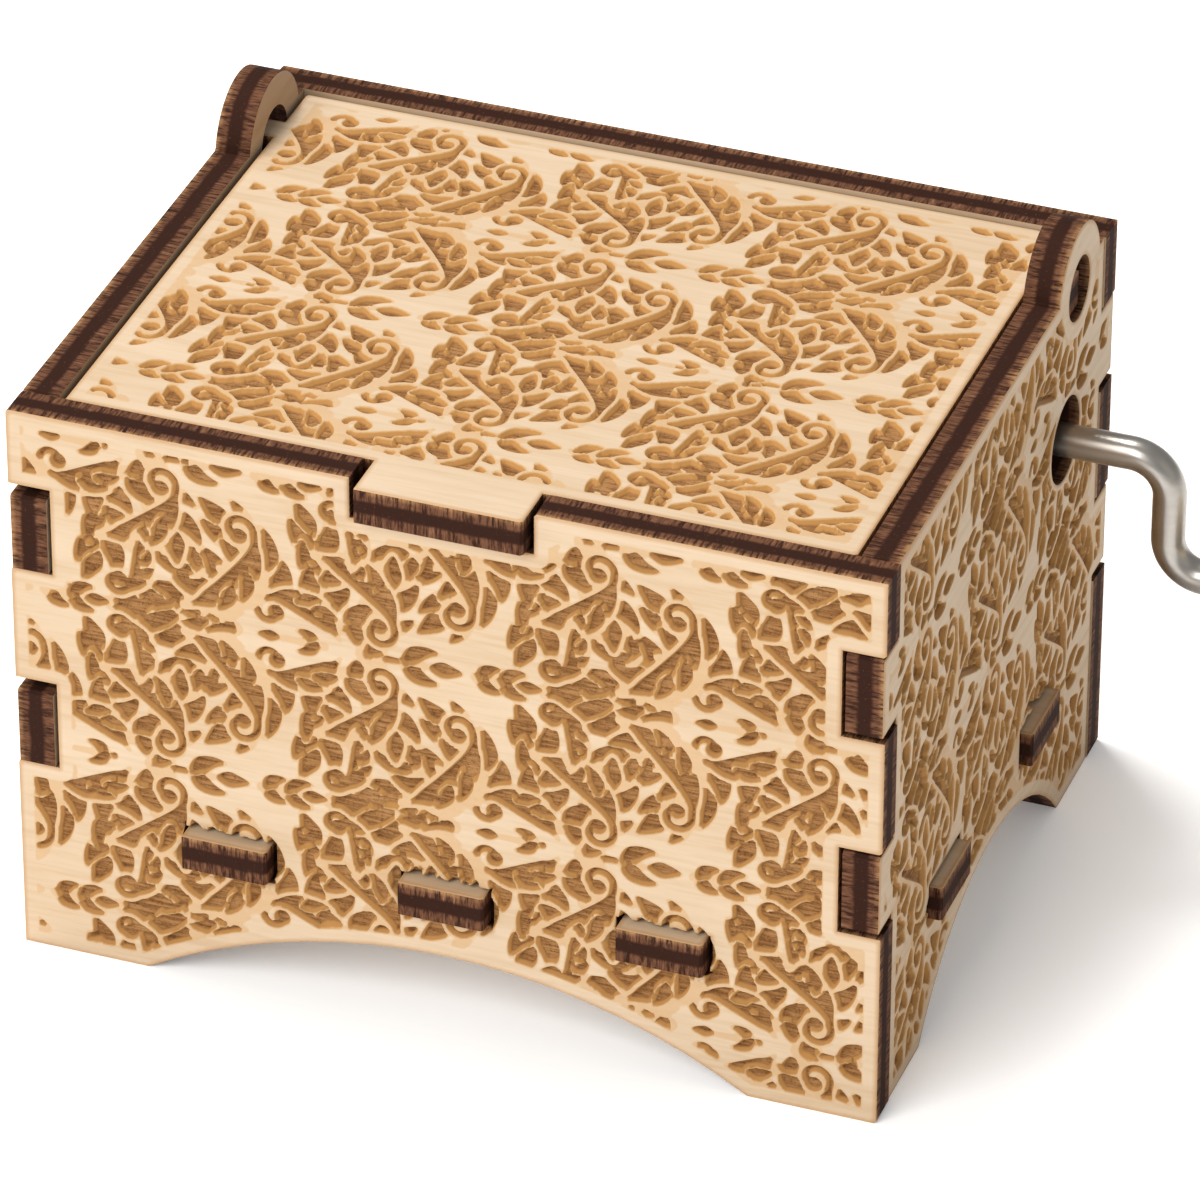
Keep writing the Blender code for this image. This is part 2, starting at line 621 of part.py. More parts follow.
def make_worm(finish):
    """The single-start, right-handed worm. Its thread crosses straight below the shaft at the wheel."""
    core_r = 1.6
    tip_r = 2.5
    pitch = math.pi * MODULE
    centre = (0, SHAFT_Y, SHAFT_Z)
    profile = tube_wall(CYLINDER_X - 4.5, CYLINDER_X + 4.5, JOURNAL_R + GAP, core_r)
    worm = turned(profile, 0, centre, 24, ring=True)
    worm = to_object("worm", worm, finish, smooth=True, pivot=(CYLINDER_X, SHAFT_Y, SHAFT_Z))
    turns = 3
    steps = 20 * turns
    thread = bmesh.new()
    rows = []
    for i in range(steps + 1):
        angle = 2 * math.pi * turns * (i / steps - 0.5)
        middle = CYLINDER_X + pitch * angle / (2 * math.pi)
        row = []
        for radius, offset in ((core_r - 0.2, -0.34), (tip_r, -0.13), (tip_r, 0.13), (core_r - 0.2, 0.34)):
            y = SHAFT_Y + radius * math.cos(angle - math.pi / 2)
            z = SHAFT_Z + radius * math.sin(angle - math.pi / 2)
            row.append(thread.verts.new((middle + offset, y, z)))
        rows.append(row)
    thread.faces.new(rows[0])
    thread.faces.new(rows[-1])
    for first, second in zip(rows, rows[1:]):
        for k in range(4):
            n = (k + 1) % 4
            thread.faces.new((first[k], first[n], second[n], second[k]))
    combine(worm, cutter("worm_thread", thread), "UNION")
    return worm


def make_collar(finish):
    """The collar on the journal's inner end, which keeps the crank from being pulled out."""
    high = BRACKET_X[0] - GAP - 0.6 - GAP
    profile = tube_wall(high - 0.9, high, JOURNAL_R + 0.05, 1.9)
    collar = turned(profile, 0, (0, SHAFT_Y, SHAFT_Z), 24, ring=True)
    return to_object("shaft_collar", collar, finish, smooth=True, pivot=(high, SHAFT_Y, SHAFT_Z))


def make_knob(finish):
    """The knob that spins on the crank's end: a softly waisted barrel, bored through and counterbored."""
    start, end = KNOB_X
    length = end - start
    bore = ROD_R + RUNNING
    recess = ROD_R + 0.6 + 0.25
    steps = 10
    profile = [(start, bore), (start, 2.6)]
    for i in range(steps + 1):
        t = i / steps
        belly = KNOB_R - 1.1 * (1 - math.sin(math.pi * (0.12 + 0.78 * t)))
        profile.append((start + 0.5 + (length - 1.0) * t, belly))
    profile += [(end, 2.9), (end, recess), (end - 2.3, recess), (end - 2.3, bore)]
    knob = turned(profile, 0, (0, SHAFT_Y, SHAFT_Z - ARM_LENGTH), ROUND, ring=True)
    return to_object("crank_knob", knob, finish, smooth=True, pivot=(start, SHAFT_Y, SHAFT_Z - ARM_LENGTH))


# ---------------------------------------------------------------- the whole music box
def make_box():
    names = ("front_panel", "back_panel", "left_side_panel", "right_side_panel", "floor_panel", "lid")
    ply = {name: material(name + "_ply", WOOD, 0.65, 0.0) for name in names}
    make_end_panel("front_panel", FRONT, True, ply["front_panel"])
    make_end_panel("back_panel", BACK - PLY, False, ply["back_panel"])
    make_side_panel("left_side_panel", LEFT + SIDE_INSET, LEFT_TABS, ply["left_side_panel"])
    right = make_side_panel("right_side_panel", RIGHT - SIDE_INSET - PLY, RIGHT_TABS, ply["right_side_panel"])
    hole = turned([(RIGHT - PLY - 2, CRANK_HOLE_R), (RIGHT + 2, CRANK_HOLE_R)], 0, (0, SHAFT_Y, SHAFT_Z), FINE)
    combine(right, cutter("crank_hole", hole), "DIFFERENCE")
    make_floor(ply["floor_panel"])
    make_lid(ply["lid"])


def make_movement():
    bed_top = BED_Z + BED[4]
    make_bed_plate(material("bed_zinc", ZINC, 0.45, 1.0))
    make_comb(material("comb_steel", STEEL, 0.3, 1.0))
    make_comb_weights(material("weight_lead", (0.35, 0.35, 0.37), 0.6, 1.0))
    comb_places = [(COMB_SCREW_X, y) for y in COMB_SCREW_Y]
    make_screws(("front_comb_screw", "rear_comb_screw"), comb_places, COMB_REST_Z + 2.0 + GAP, 1.1, 1.9,
                COMB_REST_Z - 4.0, material("comb_screw_steel", STEEL, 0.3, 1.0))
    make_arbor_bracket("front_arbor_bracket", ARBOR_BRACKET_Y[0], -1, material("front_bracket_steel", STEEL, 0.4, 1.0))
    make_arbor_bracket("rear_arbor_bracket", ARBOR_BRACKET_Y[1], 1, material("rear_bracket_steel", STEEL, 0.4, 1.0))
    make_crank_bracket(material("crank_bracket_steel", STEEL, 0.4, 1.0))
    foot_top = bed_top + GAP + BRACKET_T + GAP
    places = bracket_screw_places()
    make_screws(("left_crank_bracket_screw", "right_crank_bracket_screw"), places[:2], foot_top, 1.0, 1.6,
                BED_Z + 0.2, material("crank_bracket_screw_steel", STEEL, 0.3, 1.0))
    make_screws(("front_arbor_screw", "rear_arbor_screw"), places[2:], foot_top - 0.3, 1.0, 1.3,
                BED_Z + 0.2, material("arbor_screw_steel", STEEL, 0.3, 1.0))
    make_bushes(material("bush_brass", BRASS, 0.35, 1.0))
    corners = ("front_left", "rear_left", "front_right", "rear_right")
    places = bed_screw_places()
    washer_top = FLOOR_Z - GAP
    x0, y0 = places[0]
    profile = tube_wall(washer_top - 0.6, washer_top, SCREW_R + 0.15, 2.6)
    washer = turned(profile, 2, (x0, y0, 0), 24, ring=True)
    washer = to_object("front_left_bed_washer", washer, material("washer_steel", STEEL, 0.35, 1.0), smooth=True,
                       pivot=(x0, y0, washer_top))
    copies(washer, [f"{corner}_bed_washer" for corner in corners[1:]], [(x - x0, y - y0, 0) for x, y in places[1:]])
    make_screws([f"{corner}_bed_screw" for corner in corners], places, washer_top - 0.6 - GAP, -1.1, 1.9,
                bed_top - 0.1, material("bed_screw_steel", STEEL, 0.3, 1.0))


def make_cylinder():
    low, high = CYLINDER_Y
    make_barrel(material("barrel_brass", BRASS, 0.3, 1.0))
    make_end_cap("front_end_cap", low + 0.3, low + 1.5, material("front_cap_brass", BRASS, 0.4, 1.0))
    make_end_cap("rear_end_cap", high - 1.5, high - 0.3, material("rear_cap_brass", BRASS, 0.4, 1.0))
    make_arbor(material("arbor_steel", STEEL, 0.25, 1.0))
    make_worm_wheel(material("wheel_brass", BRASS, 0.35, 1.0))


def make_crank():
    make_crank_rod(material("rod_nickel", STEEL, 0.25, 1.0))
    make_worm(material("worm_steel", STEEL, 0.3, 1.0))
    make_collar(material("collar_steel", STEEL, 0.3, 1.0))
    make_knob(material("knob_plastic", (0.86, 0.83, 0.76), 0.35, 0.0))


def main():
    clear_scene()
    make_box()
    make_movement()
    make_cylinder()
    make_crank()


main()
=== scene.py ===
# %% [markdown]
# # A hand-cranked music box of engraved plywood
#
# The object is a small box cut from thin plywood by a laser, which also burns a shallow leaf
# ornament into its walls and its lid. A bent wire crank turns a comb-and-cylinder movement
# inside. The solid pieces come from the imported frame. This file gives them their real
# surfaces: carved panels with scorched edges, metals, light and a camera. Lengths are in
# millimetres while a shape is worked out and become metres when its mesh is made.

# %% Load the frame
import json
import math

import bmesh
import bpy
import numpy as np
from mathutils import Matrix, Vector
from mathutils.geometry import delaunay_2d_cdt

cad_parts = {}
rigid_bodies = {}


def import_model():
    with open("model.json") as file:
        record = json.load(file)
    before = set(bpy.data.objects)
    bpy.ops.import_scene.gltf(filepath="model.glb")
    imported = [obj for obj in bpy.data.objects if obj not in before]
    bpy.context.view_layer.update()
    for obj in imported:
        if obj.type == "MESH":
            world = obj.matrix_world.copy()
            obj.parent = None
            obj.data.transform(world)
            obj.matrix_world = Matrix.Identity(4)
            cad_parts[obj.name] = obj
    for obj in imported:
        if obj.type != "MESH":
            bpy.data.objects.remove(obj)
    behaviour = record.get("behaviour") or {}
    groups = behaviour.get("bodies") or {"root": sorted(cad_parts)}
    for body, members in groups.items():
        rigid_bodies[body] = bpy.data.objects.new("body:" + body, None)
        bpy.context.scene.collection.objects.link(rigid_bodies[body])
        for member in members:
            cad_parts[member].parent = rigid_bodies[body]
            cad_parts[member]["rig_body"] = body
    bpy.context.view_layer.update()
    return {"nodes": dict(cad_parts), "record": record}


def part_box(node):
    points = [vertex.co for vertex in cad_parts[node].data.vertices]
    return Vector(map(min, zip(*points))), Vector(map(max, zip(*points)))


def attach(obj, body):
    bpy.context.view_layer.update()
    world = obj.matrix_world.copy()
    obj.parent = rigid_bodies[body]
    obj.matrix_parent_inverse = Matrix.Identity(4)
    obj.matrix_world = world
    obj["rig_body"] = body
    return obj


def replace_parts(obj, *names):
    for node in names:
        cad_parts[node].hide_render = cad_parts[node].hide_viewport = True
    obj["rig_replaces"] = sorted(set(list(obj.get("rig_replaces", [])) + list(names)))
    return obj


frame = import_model()
MM = 0.001


# %% [markdown]
# ## Camera, floor and light
#
# The box is seen from its front right, from well above, through a long lens, so its edges
# stay nearly parallel. It could be lit by one lamp, but carved wood needs more care. A small
# key lamp high above, a little to the left and behind, gives every pocket a bright wall and a
# shaded one. A large lamp in front lights the front panel evenly, and a faint warm one keeps
# the right side from turning grey. The floor is white and close to the brightness of the
# sky, so it runs into the background with only soft shadows on it.

# %% Camera
CAMERA_PLACE = Vector((0.18097, -0.52045, 0.38063))
CAMERA_YAW = math.radians(20.08)
CAMERA_PITCH = math.radians(32.94)
CAMERA_ROLL = math.radians(0.13)
CAMERA_LENS = 271.4
SENSOR_WIDTH = 36.0
CAMERA_CLIP = (0.01, 50.0)

back = Vector((
    math.sin(CAMERA_YAW) * math.cos(CAMERA_PITCH),
    -math.cos(CAMERA_YAW) * math.cos(CAMERA_PITCH),
    math.sin(CAMERA_PITCH),
))
camera_data = bpy.data.cameras.new("camera")
camera_data.lens = CAMERA_LENS
camera_data.sensor_width = SENSOR_WIDTH
camera_data.clip_start, camera_data.clip_end = CAMERA_CLIP
camera = bpy.data.objects.new("camera", camera_data)
camera.location = CAMERA_PLACE
camera.rotation_mode = "QUATERNION"
level_camera = (-back).to_track_quat("-Z", "Y").to_matrix().to_4x4()
turned_camera = level_camera @ Matrix.Rotation(CAMERA_ROLL, 4, "Z")
camera.rotation_quaternion = turned_camera.to_quaternion()
bpy.context.collection.objects.link(camera)
bpy.context.scene.camera = camera
print("camera", [round(value, 3) for value in CAMERA_PLACE])


# %% Lamps and sky
BOX_MIDDLE = (-0.01, 0.0, 0.025)
SKY_STRENGTH = 0.40
# name, place in metres, width in metres, watts and colour of each lamp
LAMPS = (
    ("key", (-0.22, 0.14, 0.70), 0.24, 4.4, (1.0, 0.985, 0.96)),
    ("front_fill", (-0.25, -0.68, 0.55), 0.6, 8.0, (1.0, 0.99, 0.97)),
    ("right_fill", (0.85, -0.25, 0.45), 0.7, 0.35, (1.0, 0.92, 0.80)),
)


def add_lamp(name, place, size, power, color):
    """A square soft lamp at place that shines towards the middle of the box."""
    data = bpy.data.lights.new(name, "AREA")
    data.shape = "SQUARE"
    data.size = size
    data.energy = power
    data.color = color
    lamp = bpy.data.objects.new(name, data)
    lamp.location = place
    lamp.rotation_mode = "QUATERNION"
    lamp.rotation_quaternion = (Vector(BOX_MIDDLE) - Vector(place)).to_track_quat("-Z", "Y")
    bpy.context.collection.objects.link(lamp)


for lamp_row in LAMPS:
    add_lamp(*lamp_row)

world = bpy.data.worlds.new("pale_sky")
world.use_nodes = True
world.node_tree.nodes["Background"].inputs["Color"].default_value = (1.0, 1.0, 1.0, 1.0)
world.node_tree.nodes["Background"].inputs["Strength"].default_value = SKY_STRENGTH
bpy.context.scene.world = world
bpy.context.scene.view_settings.view_transform = "Standard"
print("lamps", [lamp_row[0] for lamp_row in LAMPS], "and a sky of", SKY_STRENGTH)


# %% [markdown]
# ## Writing materials as sums
#
# A procedural material is a sum of simple patterns. Nodes could be placed and linked one by
# one, but then the sum is hard to read. Here a Wire is one value on its way through the
# material, and adding or multiplying Wires adds the Math nodes. Colours go through Mix
# nodes, because a Math node would turn them grey.

# %% Wires and paints
MIX_FIRST = 6               # a Mix node's colour sockets, which share their names with others
MIX_SECOND = 7
MIX_RESULT = 2


class Wire:
    """A value on its way through a material."""

    def __init__(self, paint, socket):
        self.paint = paint
        self.socket = socket

    def math(self, operation, first, second=0.0, clamp=False):
        settings = {"operation": operation, "use_clamp": clamp}
        return self.paint.node("ShaderNodeMath", settings, [first, second])

    def __add__(self, other):
        return self.math("ADD", self, other)

    def __radd__(self, other):
        return self.math("ADD", other, self)

    def __sub__(self, other):
        return self.math("SUBTRACT", self, other)

    def __rsub__(self, other):
        return self.math("SUBTRACT", other, self)

    def __mul__(self, other):
        return self.math("MULTIPLY", self, other)

    def __rmul__(self, other):
        return self.math("MULTIPLY", other, self)

    def clamped(self):
        """The value kept between 0 and 1."""
        return self.math("ADD", self, 0.0, clamp=True)

    def step(self, low, high):
        """0 below low and 1 above high, with a smooth rise between them."""
        settings = {"interpolation_type": "SMOOTHSTEP"}
        sockets = {"Value": self, "From Min": low, "From Max": high}
        return self.paint.node("ShaderNodeMapRange", settings, sockets)


class Paint:
    """A material under construction, with its Principled shader."""

    def __init__(self, name, **fixed):
        self.material = bpy.data.materials.new(name)
        self.material.use_nodes = True
        self.tree = self.material.node_tree
        self.shader = self.tree.nodes["Principled BSDF"]
        for key, value in fixed.items():
            socket = key.replace("_", " ").title().replace("Ior", "IOR")
            self.shader.inputs[socket].default_value = value

    def feed(self, socket, value):
        """Give a socket a Wire, a colour or a number."""
        if isinstance(value, Wire):
            self.tree.links.new(value.socket, socket)
        elif isinstance(value, (tuple, list)) and socket.type == "RGBA":
            socket.default_value = (*value, 1.0)
        else:
            socket.default_value = value

    def node(self, kind, settings=None, sockets=None, output=0):
        """Add a node: its settings first, then what goes into its sockets."""
        made = self.tree.nodes.new(kind)
        for key, value in (settings or {}).items():
            setattr(made, key, value)
        pairs = sockets.items() if isinstance(sockets, dict) else enumerate(sockets or [])
        for key, value in pairs:
            self.feed(made.inputs[key], value)
        return Wire(self, made.outputs[output])

    def places(self):
        """Where a point is on the object at rest, in metres."""
        return self.node("ShaderNodeTexCoord", output="Object")

    def stretched(self, scale):
        """The place with each axis multiplied, so that a noise becomes grain along the small one."""
        sockets = {"Vector": self.places(), "Scale": scale}
        return self.node("ShaderNodeMapping", {"vector_type": "POINT"}, sockets)

    def noise(self, vector, scale, detail=3.0, roughness=0.55):
        sockets = {"Vector": vector, "Scale": scale, "Detail": detail, "Roughness": roughness}
        return self.node("ShaderNodeTexNoise", {}, sockets)

    def mix(self, share, first, second):
        """The first colour where share is 0 and the second where it is 1."""
        sockets = {"Factor": share, MIX_FIRST: first, MIX_SECOND: second}
        return self.node("ShaderNodeMix", {"data_type": "RGBA"}, sockets, MIX_RESULT)

    def attribute(self, name):
        """A number that the mesh carries at each of its points."""
        return self.node("ShaderNodeAttribute", {"attribute_name": name}, output="Fac")

    def color(self, value):
        self.feed(self.shader.inputs["Base Color"], value)

    def rough(self, value):
        self.feed(self.shader.inputs["Roughness"], value)

    def bump(self, height, strength, distance):
        sockets = {"Height": height, "Strength": strength, "Distance": distance}
        self.feed(self.shader.inputs["Normal"], self.node("ShaderNodeBump", {}, sockets))


# %% [markdown]
# ## Wood in five states
#
# One sheet of birch-like plywood shows five surfaces. Its sanded **face** is pale with faint
# fibres, and heat has tinted it along the rim and round each carved leaf. A laser **pocket**
# is brown, because the beam has toasted the wood, and the fibres stand out as darker and
# lighter streaks. The steep **wall** of a pocket carries painted shade: its colour runs from
# pale gold at the top to brown at its foot, as if shade deepened into the pocket.
# The cut **edge** is nearly black-brown: the beam burns the glued plies unevenly, and ash
# lies on it in fine streaks along the beam. The **back** is face wood, a little darker all
# over. Each panel gets its own copies, with the grain along its own axis.

# %% Wood colours (linear)
PALE = (0.535, 0.41, 0.285)
PALE_WARM = (0.44, 0.305, 0.18)
TOAST = (0.235, 0.110, 0.036)
TOAST_DARK = (0.098, 0.035, 0.007)
TOAST_LIGHT = (0.39, 0.213, 0.086)
CHAR = (0.026, 0.0095, 0.0055)
CHAR_WARM = (0.128, 0.055, 0.029)
ASH = (0.27, 0.145, 0.075)
SPARED = (0.36, 0.195, 0.085)
# GOLD_LIGHT, GOLD and TOAST carry the walls' painted shade, top to foot; GOLD_LIGHT also tints the face
# round each leaf
GOLD = (0.355, 0.175, 0.050)
GOLD_LIGHT = (0.47, 0.29, 0.135)
GRAIN = 1000.0
FIBRE_STRETCH = 0.07        # how much slower the grain changes along a fibre than across it
POCKET_DEPTH = 0.5
RIM_SCORCH = 0.45           # width of the scorched band along a panel's rim
HALO_START = 0.05           # round a pocket the heat has tinted the face, from here
HALO = 0.20                 # to here


def grain_scale(along):
    """The stretch that turns even noise into fibres along an axis."""
    return tuple(FIBRE_STRETCH * GRAIN if axis == along else GRAIN for axis in range(3))


def face_wood(name, along):
    """Sanded wood: faint fibres, scorched along the rim and tinted round each leaf."""
    paint = Paint(name, roughness=0.62, specular_ior_level=0.3)
    fibres = paint.noise(paint.stretched(grain_scale(along)), 1.6, 4.0, 0.65)
    broad = paint.noise(paint.stretched(grain_scale(along)), 0.16, 3.0)
    scorch = 1.0 - paint.attribute("rim").step(0.0, RIM_SCORCH)
    warm = fibres.step(0.38, 0.72) * 0.45 + broad.step(0.35, 0.7) * 0.45
    color = paint.mix(warm.clamped(), PALE, PALE_WARM)
    halo = 1.0 - paint.attribute("leaf_distance").step(HALO_START, HALO)
    color = paint.mix((scorch * 0.75).clamped(), color, TOAST_LIGHT)
    paint.color(paint.mix((halo * 0.65).clamped(), color, GOLD_LIGHT))
    paint.rough(0.55 + 0.15 * fibres)
    paint.bump(fibres, 0.18, 0.00006)
    return paint.material


def pocket_wood(name, along):
    """Toasted wood: streaky fibres, and fine dark specks over them."""
    paint = Paint(name, roughness=0.8, specular_ior_level=0.15)
    fibres = paint.noise(paint.stretched(grain_scale(along)), 4.2, 5.0, 0.7)
    specks = paint.noise(paint.places(), 5200.0, 3.0, 0.7)
    broad = paint.noise(paint.places(), 330.0, 2.0)
    dark = (fibres.step(0.46, 0.60) * 0.55 + specks.step(0.48, 0.68) * 0.5).clamped()
    color = paint.mix(broad.step(0.35, 0.7) * 0.5, TOAST, TOAST_LIGHT)
    color = paint.mix(dark, color, TOAST_DARK)
    color = paint.mix(fibres.step(0.52, 0.36) * 0.45, color, TOAST_LIGHT)
    paint.color(color)
    paint.rough(0.72 + 0.2 * specks)
    paint.bump(fibres * 0.7 + specks * 0.5, 0.55, 0.00012)
    return paint.material


def wall_wood_painted_shade(name, through, outer, outward):
    """Pocket walls with painted shade: pale gold at the top, golden below, brown at the foot."""
    paint = Paint(name, roughness=0.65, specular_ior_level=0.15)
    mottle = paint.noise(paint.places(), 2600.0, 3.0, 0.65)
    place = paint.node("ShaderNodeSeparateXYZ", {}, [paint.places()], output=through)
    # painted shade: how deep a point lies in the pocket sets how dark its wall is painted
    depth = (place - outer) * (-outward / (POCKET_DEPTH * MM)) + (mottle - 0.5) * 0.35
    color = paint.mix(depth.step(0.0, 0.30), GOLD_LIGHT, GOLD)
    paint.color(paint.mix(depth.step(0.60, 1.0), color, TOAST))
    paint.bump(mottle, 0.3, 0.00006)
    return paint.material


def edge_wood(name, through, outer, inner):
    """The burnt edge of a panel, whose thickness runs from outer to inner, in metres."""
    paint = Paint(name, specular_ior_level=0.06)
    spread = tuple(0.6 * GRAIN if axis == through else 4.6 * GRAIN for axis in range(3))
    streaks = paint.noise(paint.stretched(spread), 1.0, 4.0, 0.7)
    blotch = paint.noise(paint.places(), 420.0, 3.0, 0.6)
    dust = paint.noise(paint.places(), 6500.0, 2.0, 0.6)
    place = paint.node("ShaderNodeSeparateXYZ", {}, [paint.places()], output=through)
    depth = (place - outer) * (1.0 / (inner - outer)) + (blotch - 0.5) * 0.14
    plies = (1.0 - depth.step(0.24, 0.36) + depth.step(0.64, 0.76)).clamped()
    warm = plies * streaks.step(0.36, 0.60) + (1.0 - plies) * streaks.step(0.60, 0.80) * 0.35
    color = paint.mix(warm.clamped(), CHAR, CHAR_WARM)
    ash = plies * streaks.step(0.56, 0.74) * blotch.step(0.40, 0.62)
    color = paint.mix((ash * 0.8).clamped(), color, ASH)
    spared = (1.0 - depth.step(0.02, 0.20)) * streaks.step(0.34, 0.60) * blotch.step(0.34, 0.56)
    color = paint.mix((spared * 0.8).clamped(), color, SPARED)
    color = paint.mix(dust.step(0.66, 0.78) * 0.35, color, ASH)
    paint.color(color)
    paint.rough(0.62 + 0.25 * streaks)
    paint.bump(streaks + dust * 0.3, 0.35, 0.0001)
    return paint.material


# %% [markdown]
# ## The ornament as a field of distances
#
# The leaf ornament repeats like wallpaper: one small motif, its mirror image, and both again
# half a step over and half a step up. It could be drawn as curves and filled, but leaves that
# overlap would then need cutting by hand. Here the ornament is a field of numbers on one tile:
# how far a point is from the nearest carved shape, below zero inside it. A stroke is a row of
# circles that grow and shrink along a bent line, and a leaf is a fan of strokes shaped like
# flames. Each leaf first clears a plain border round itself, so that it seems to lie in front
# of the leaves that were carved before it.

# %% The tile
TILE = (32.8, 26.2)
TILE_STEP = 0.1
TILE_COUNT = tuple(int(round(length / TILE_STEP)) for length in TILE)
TILE_CELL = tuple(length / count for length, count in zip(TILE, TILE_COUNT))
LEAF_GAP = 0.22             # the ridge between two strokes of one leaf
BORDER = 0.38               # the plain border round a whole leaf
FAR = 4.0                   # counts as far from every leaf
FIELD_MARGIN = 0.6          # how far beyond a stroke the field is worked out
ornament = np.full((TILE_COUNT[1], TILE_COUNT[0]), FAR)


def carve(strokes, gap=LEAF_GAP, keep=False):
    """Carve strokes, each a pair of points and radii, or with keep leave them standing."""
    points = np.concatenate([stroke[0] for stroke in strokes])
    radii = np.concatenate([stroke[1] for stroke in strokes])
    for mirror in (1, -1):
        for shift in ((0.0, 0.0), (TILE[0] / 2, TILE[1] / 2)):
            placed = points * (1, mirror) + shift
            reach = radii.max() + gap + FIELD_MARGIN
            low = np.floor((placed.min(0) - reach) / TILE_CELL).astype(int)
            high = np.ceil((placed.max(0) + reach) / TILE_CELL).astype(int)
            columns = np.arange(low[0], high[0] + 1)
            rows = np.arange(low[1], high[1] + 1)
            across, up = np.meshgrid(columns * TILE_CELL[0], rows * TILE_CELL[1])
            distance = np.full(across.shape, np.inf)
            for (x, y), radius in zip(placed, radii):
                distance = np.minimum(distance, np.hypot(across - x, up - y) - radius)
            window = np.ix_(rows % TILE_COUNT[1], columns % TILE_COUNT[0])
            if keep:
                ornament[window] = np.maximum(ornament[window], -distance)
            else:
                ridged = np.maximum(ornament[window], gap - distance)
                ornament[window] = np.minimum(ridged, distance)


def bent_line(start, middle, end, count):
    """Points along a curve that leaves start towards middle and arrives at end."""
    t = np.linspace(0, 1, count)[:, None]
    start, middle, end = (np.array(point, float) for point in (start, middle, end))
    return (1 - t) ** 2 * start + 2 * t * (1 - t) * middle + t ** 2 * end


def headings(line):
    """The direction of a line at each of its points, in degrees."""
    steps = np.gradient(line, axis=0)
    return np.degrees(np.arctan2(steps[:, 1], steps[:, 0]))


FLAME_POINTS = 20
FLAME_WIDEST = 0.4          # where along its length a flame is widest
THINNEST = 0.03             # radius that is added all along a flame


def flame(base, heading, length, width, hook):
    """A curved stroke with a pointed tip, which turns by hook degrees on its way."""
    t = np.linspace(0, 1, FLAME_POINTS)
    turn = np.radians(heading + hook * t)
    steps = np.stack([np.cos(turn), np.sin(turn)], 1) * length / (FLAME_POINTS - 1)
    points = np.array(base) + np.cumsum(steps, axis=0) - steps[0]
    swell = ((t + 0.06) / FLAME_WIDEST).clip(0, 1) ** 0.6
    taper = (1 - (t - FLAME_WIDEST).clip(0, 1) / 0.62).clip(0, 1) ** 0.75
    return points, width / 2 * swell * taper + THINNEST


def carve_in_front(strokes):
    """Clear a plain border round all the strokes, then carve them one after the other."""
    carve([(points, radii + BORDER) for points, radii in strokes], 0, keep=True)
    for stroke in strokes:
        carve([stroke])


SPINE_POINTS = 60
TIP_POINT = 50              # the point of the spine where the last flame starts
TIP_AIM = 55                # and the one whose direction it follows
SPREAD = 66                 # degrees between the spine and its first side flames
HOOK = 64                   # degrees by which a side flame bends back


def plume(start, middle, end, size, count):
    """A leaf of flames that fan out from a bent spine, each lying on the one behind it."""
    spine = bent_line(start, middle, end, SPINE_POINTS)
    turns = headings(spine)
    t = np.linspace(0, 1, SPINE_POINTS)
    strokes = [
        (spine, size * 0.10 * (1 - t) + 0.08),
        flame(spine[TIP_POINT], turns[TIP_AIM], size * 0.85, size * 0.46, 0),
    ]
    for k in reversed(range(count)):
        share = (k + 0.2) / count * 0.88
        i = int(share * (SPINE_POINTS - 1))
        reach = size * (0.70 + 0.45 * math.sin(math.pi * (0.15 + 0.75 * share)))
        for side in (1, -1):
            heading = turns[i] + side * (SPREAD - 10 * share)
            strokes.append(flame(spine[i], heading, reach, size * 0.48, -side * HOOK))
    carve_in_front(strokes)


CURL_POINTS = 34
TAIL_POINTS = 50
LEAN = 38                   # degrees by which a tail sets off away from its end
EYE_RADII = (0.55, 0.55, 0.5, 0.4, 0.3)
SIDE_FLAMES = ((54, 1.5), (64, 1.3))    # point on the tail, length for each unit of thickness
SIDE_TURN = 46
SIDE_HOOK = 50


def scroll(eye, size, turns, hand, end, thick):
    """A scroll: an eye, a thin curl round it, and a tail that swells into a leaf."""
    eye, end = np.array(eye, float), np.array(end, float)
    away = end - eye
    heading = math.degrees(math.atan2(away[1], away[0])) - hand * LEAN
    share = np.linspace(0, 1, CURL_POINTS)
    angle = np.radians(heading - 90 * hand - hand * turns * 360 * (1 - share))
    radius = size * (0.42 + 0.58 * share)
    spiral = eye + np.stack([radius * np.cos(angle), radius * np.sin(angle)], 1)
    ahead = np.array((math.cos(math.radians(heading)), math.sin(math.radians(heading))))
    guide = spiral[-1] + ahead * np.linalg.norm(end - spiral[-1]) * 0.55
    tail = bent_line(spiral[-1], guide, end, TAIL_POINTS)
    points = np.concatenate([spiral, tail[1:]])
    t = np.concatenate([np.zeros(CURL_POINTS), np.linspace(0, 1, TAIL_POINTS)[1:]])
    radii = 0.22 + thick / 2 * np.sin(np.pi * ((t - 0.12) / 0.86).clip(0, 1)) ** 1.1
    radii *= ((1.02 - t) / 0.2).clip(0, 1) ** 0.8
    radii[:len(EYE_RADII)] = EYE_RADII
    strokes = [(points, radii + THINNEST)]
    turns_here = headings(points)
    for i, reach in SIDE_FLAMES:
        heading = turns_here[i] - hand * SIDE_TURN
        strokes.append(flame(points[i], heading, thick * reach, thick * 0.62, hand * SIDE_HOOK))
    carve_in_front(strokes)


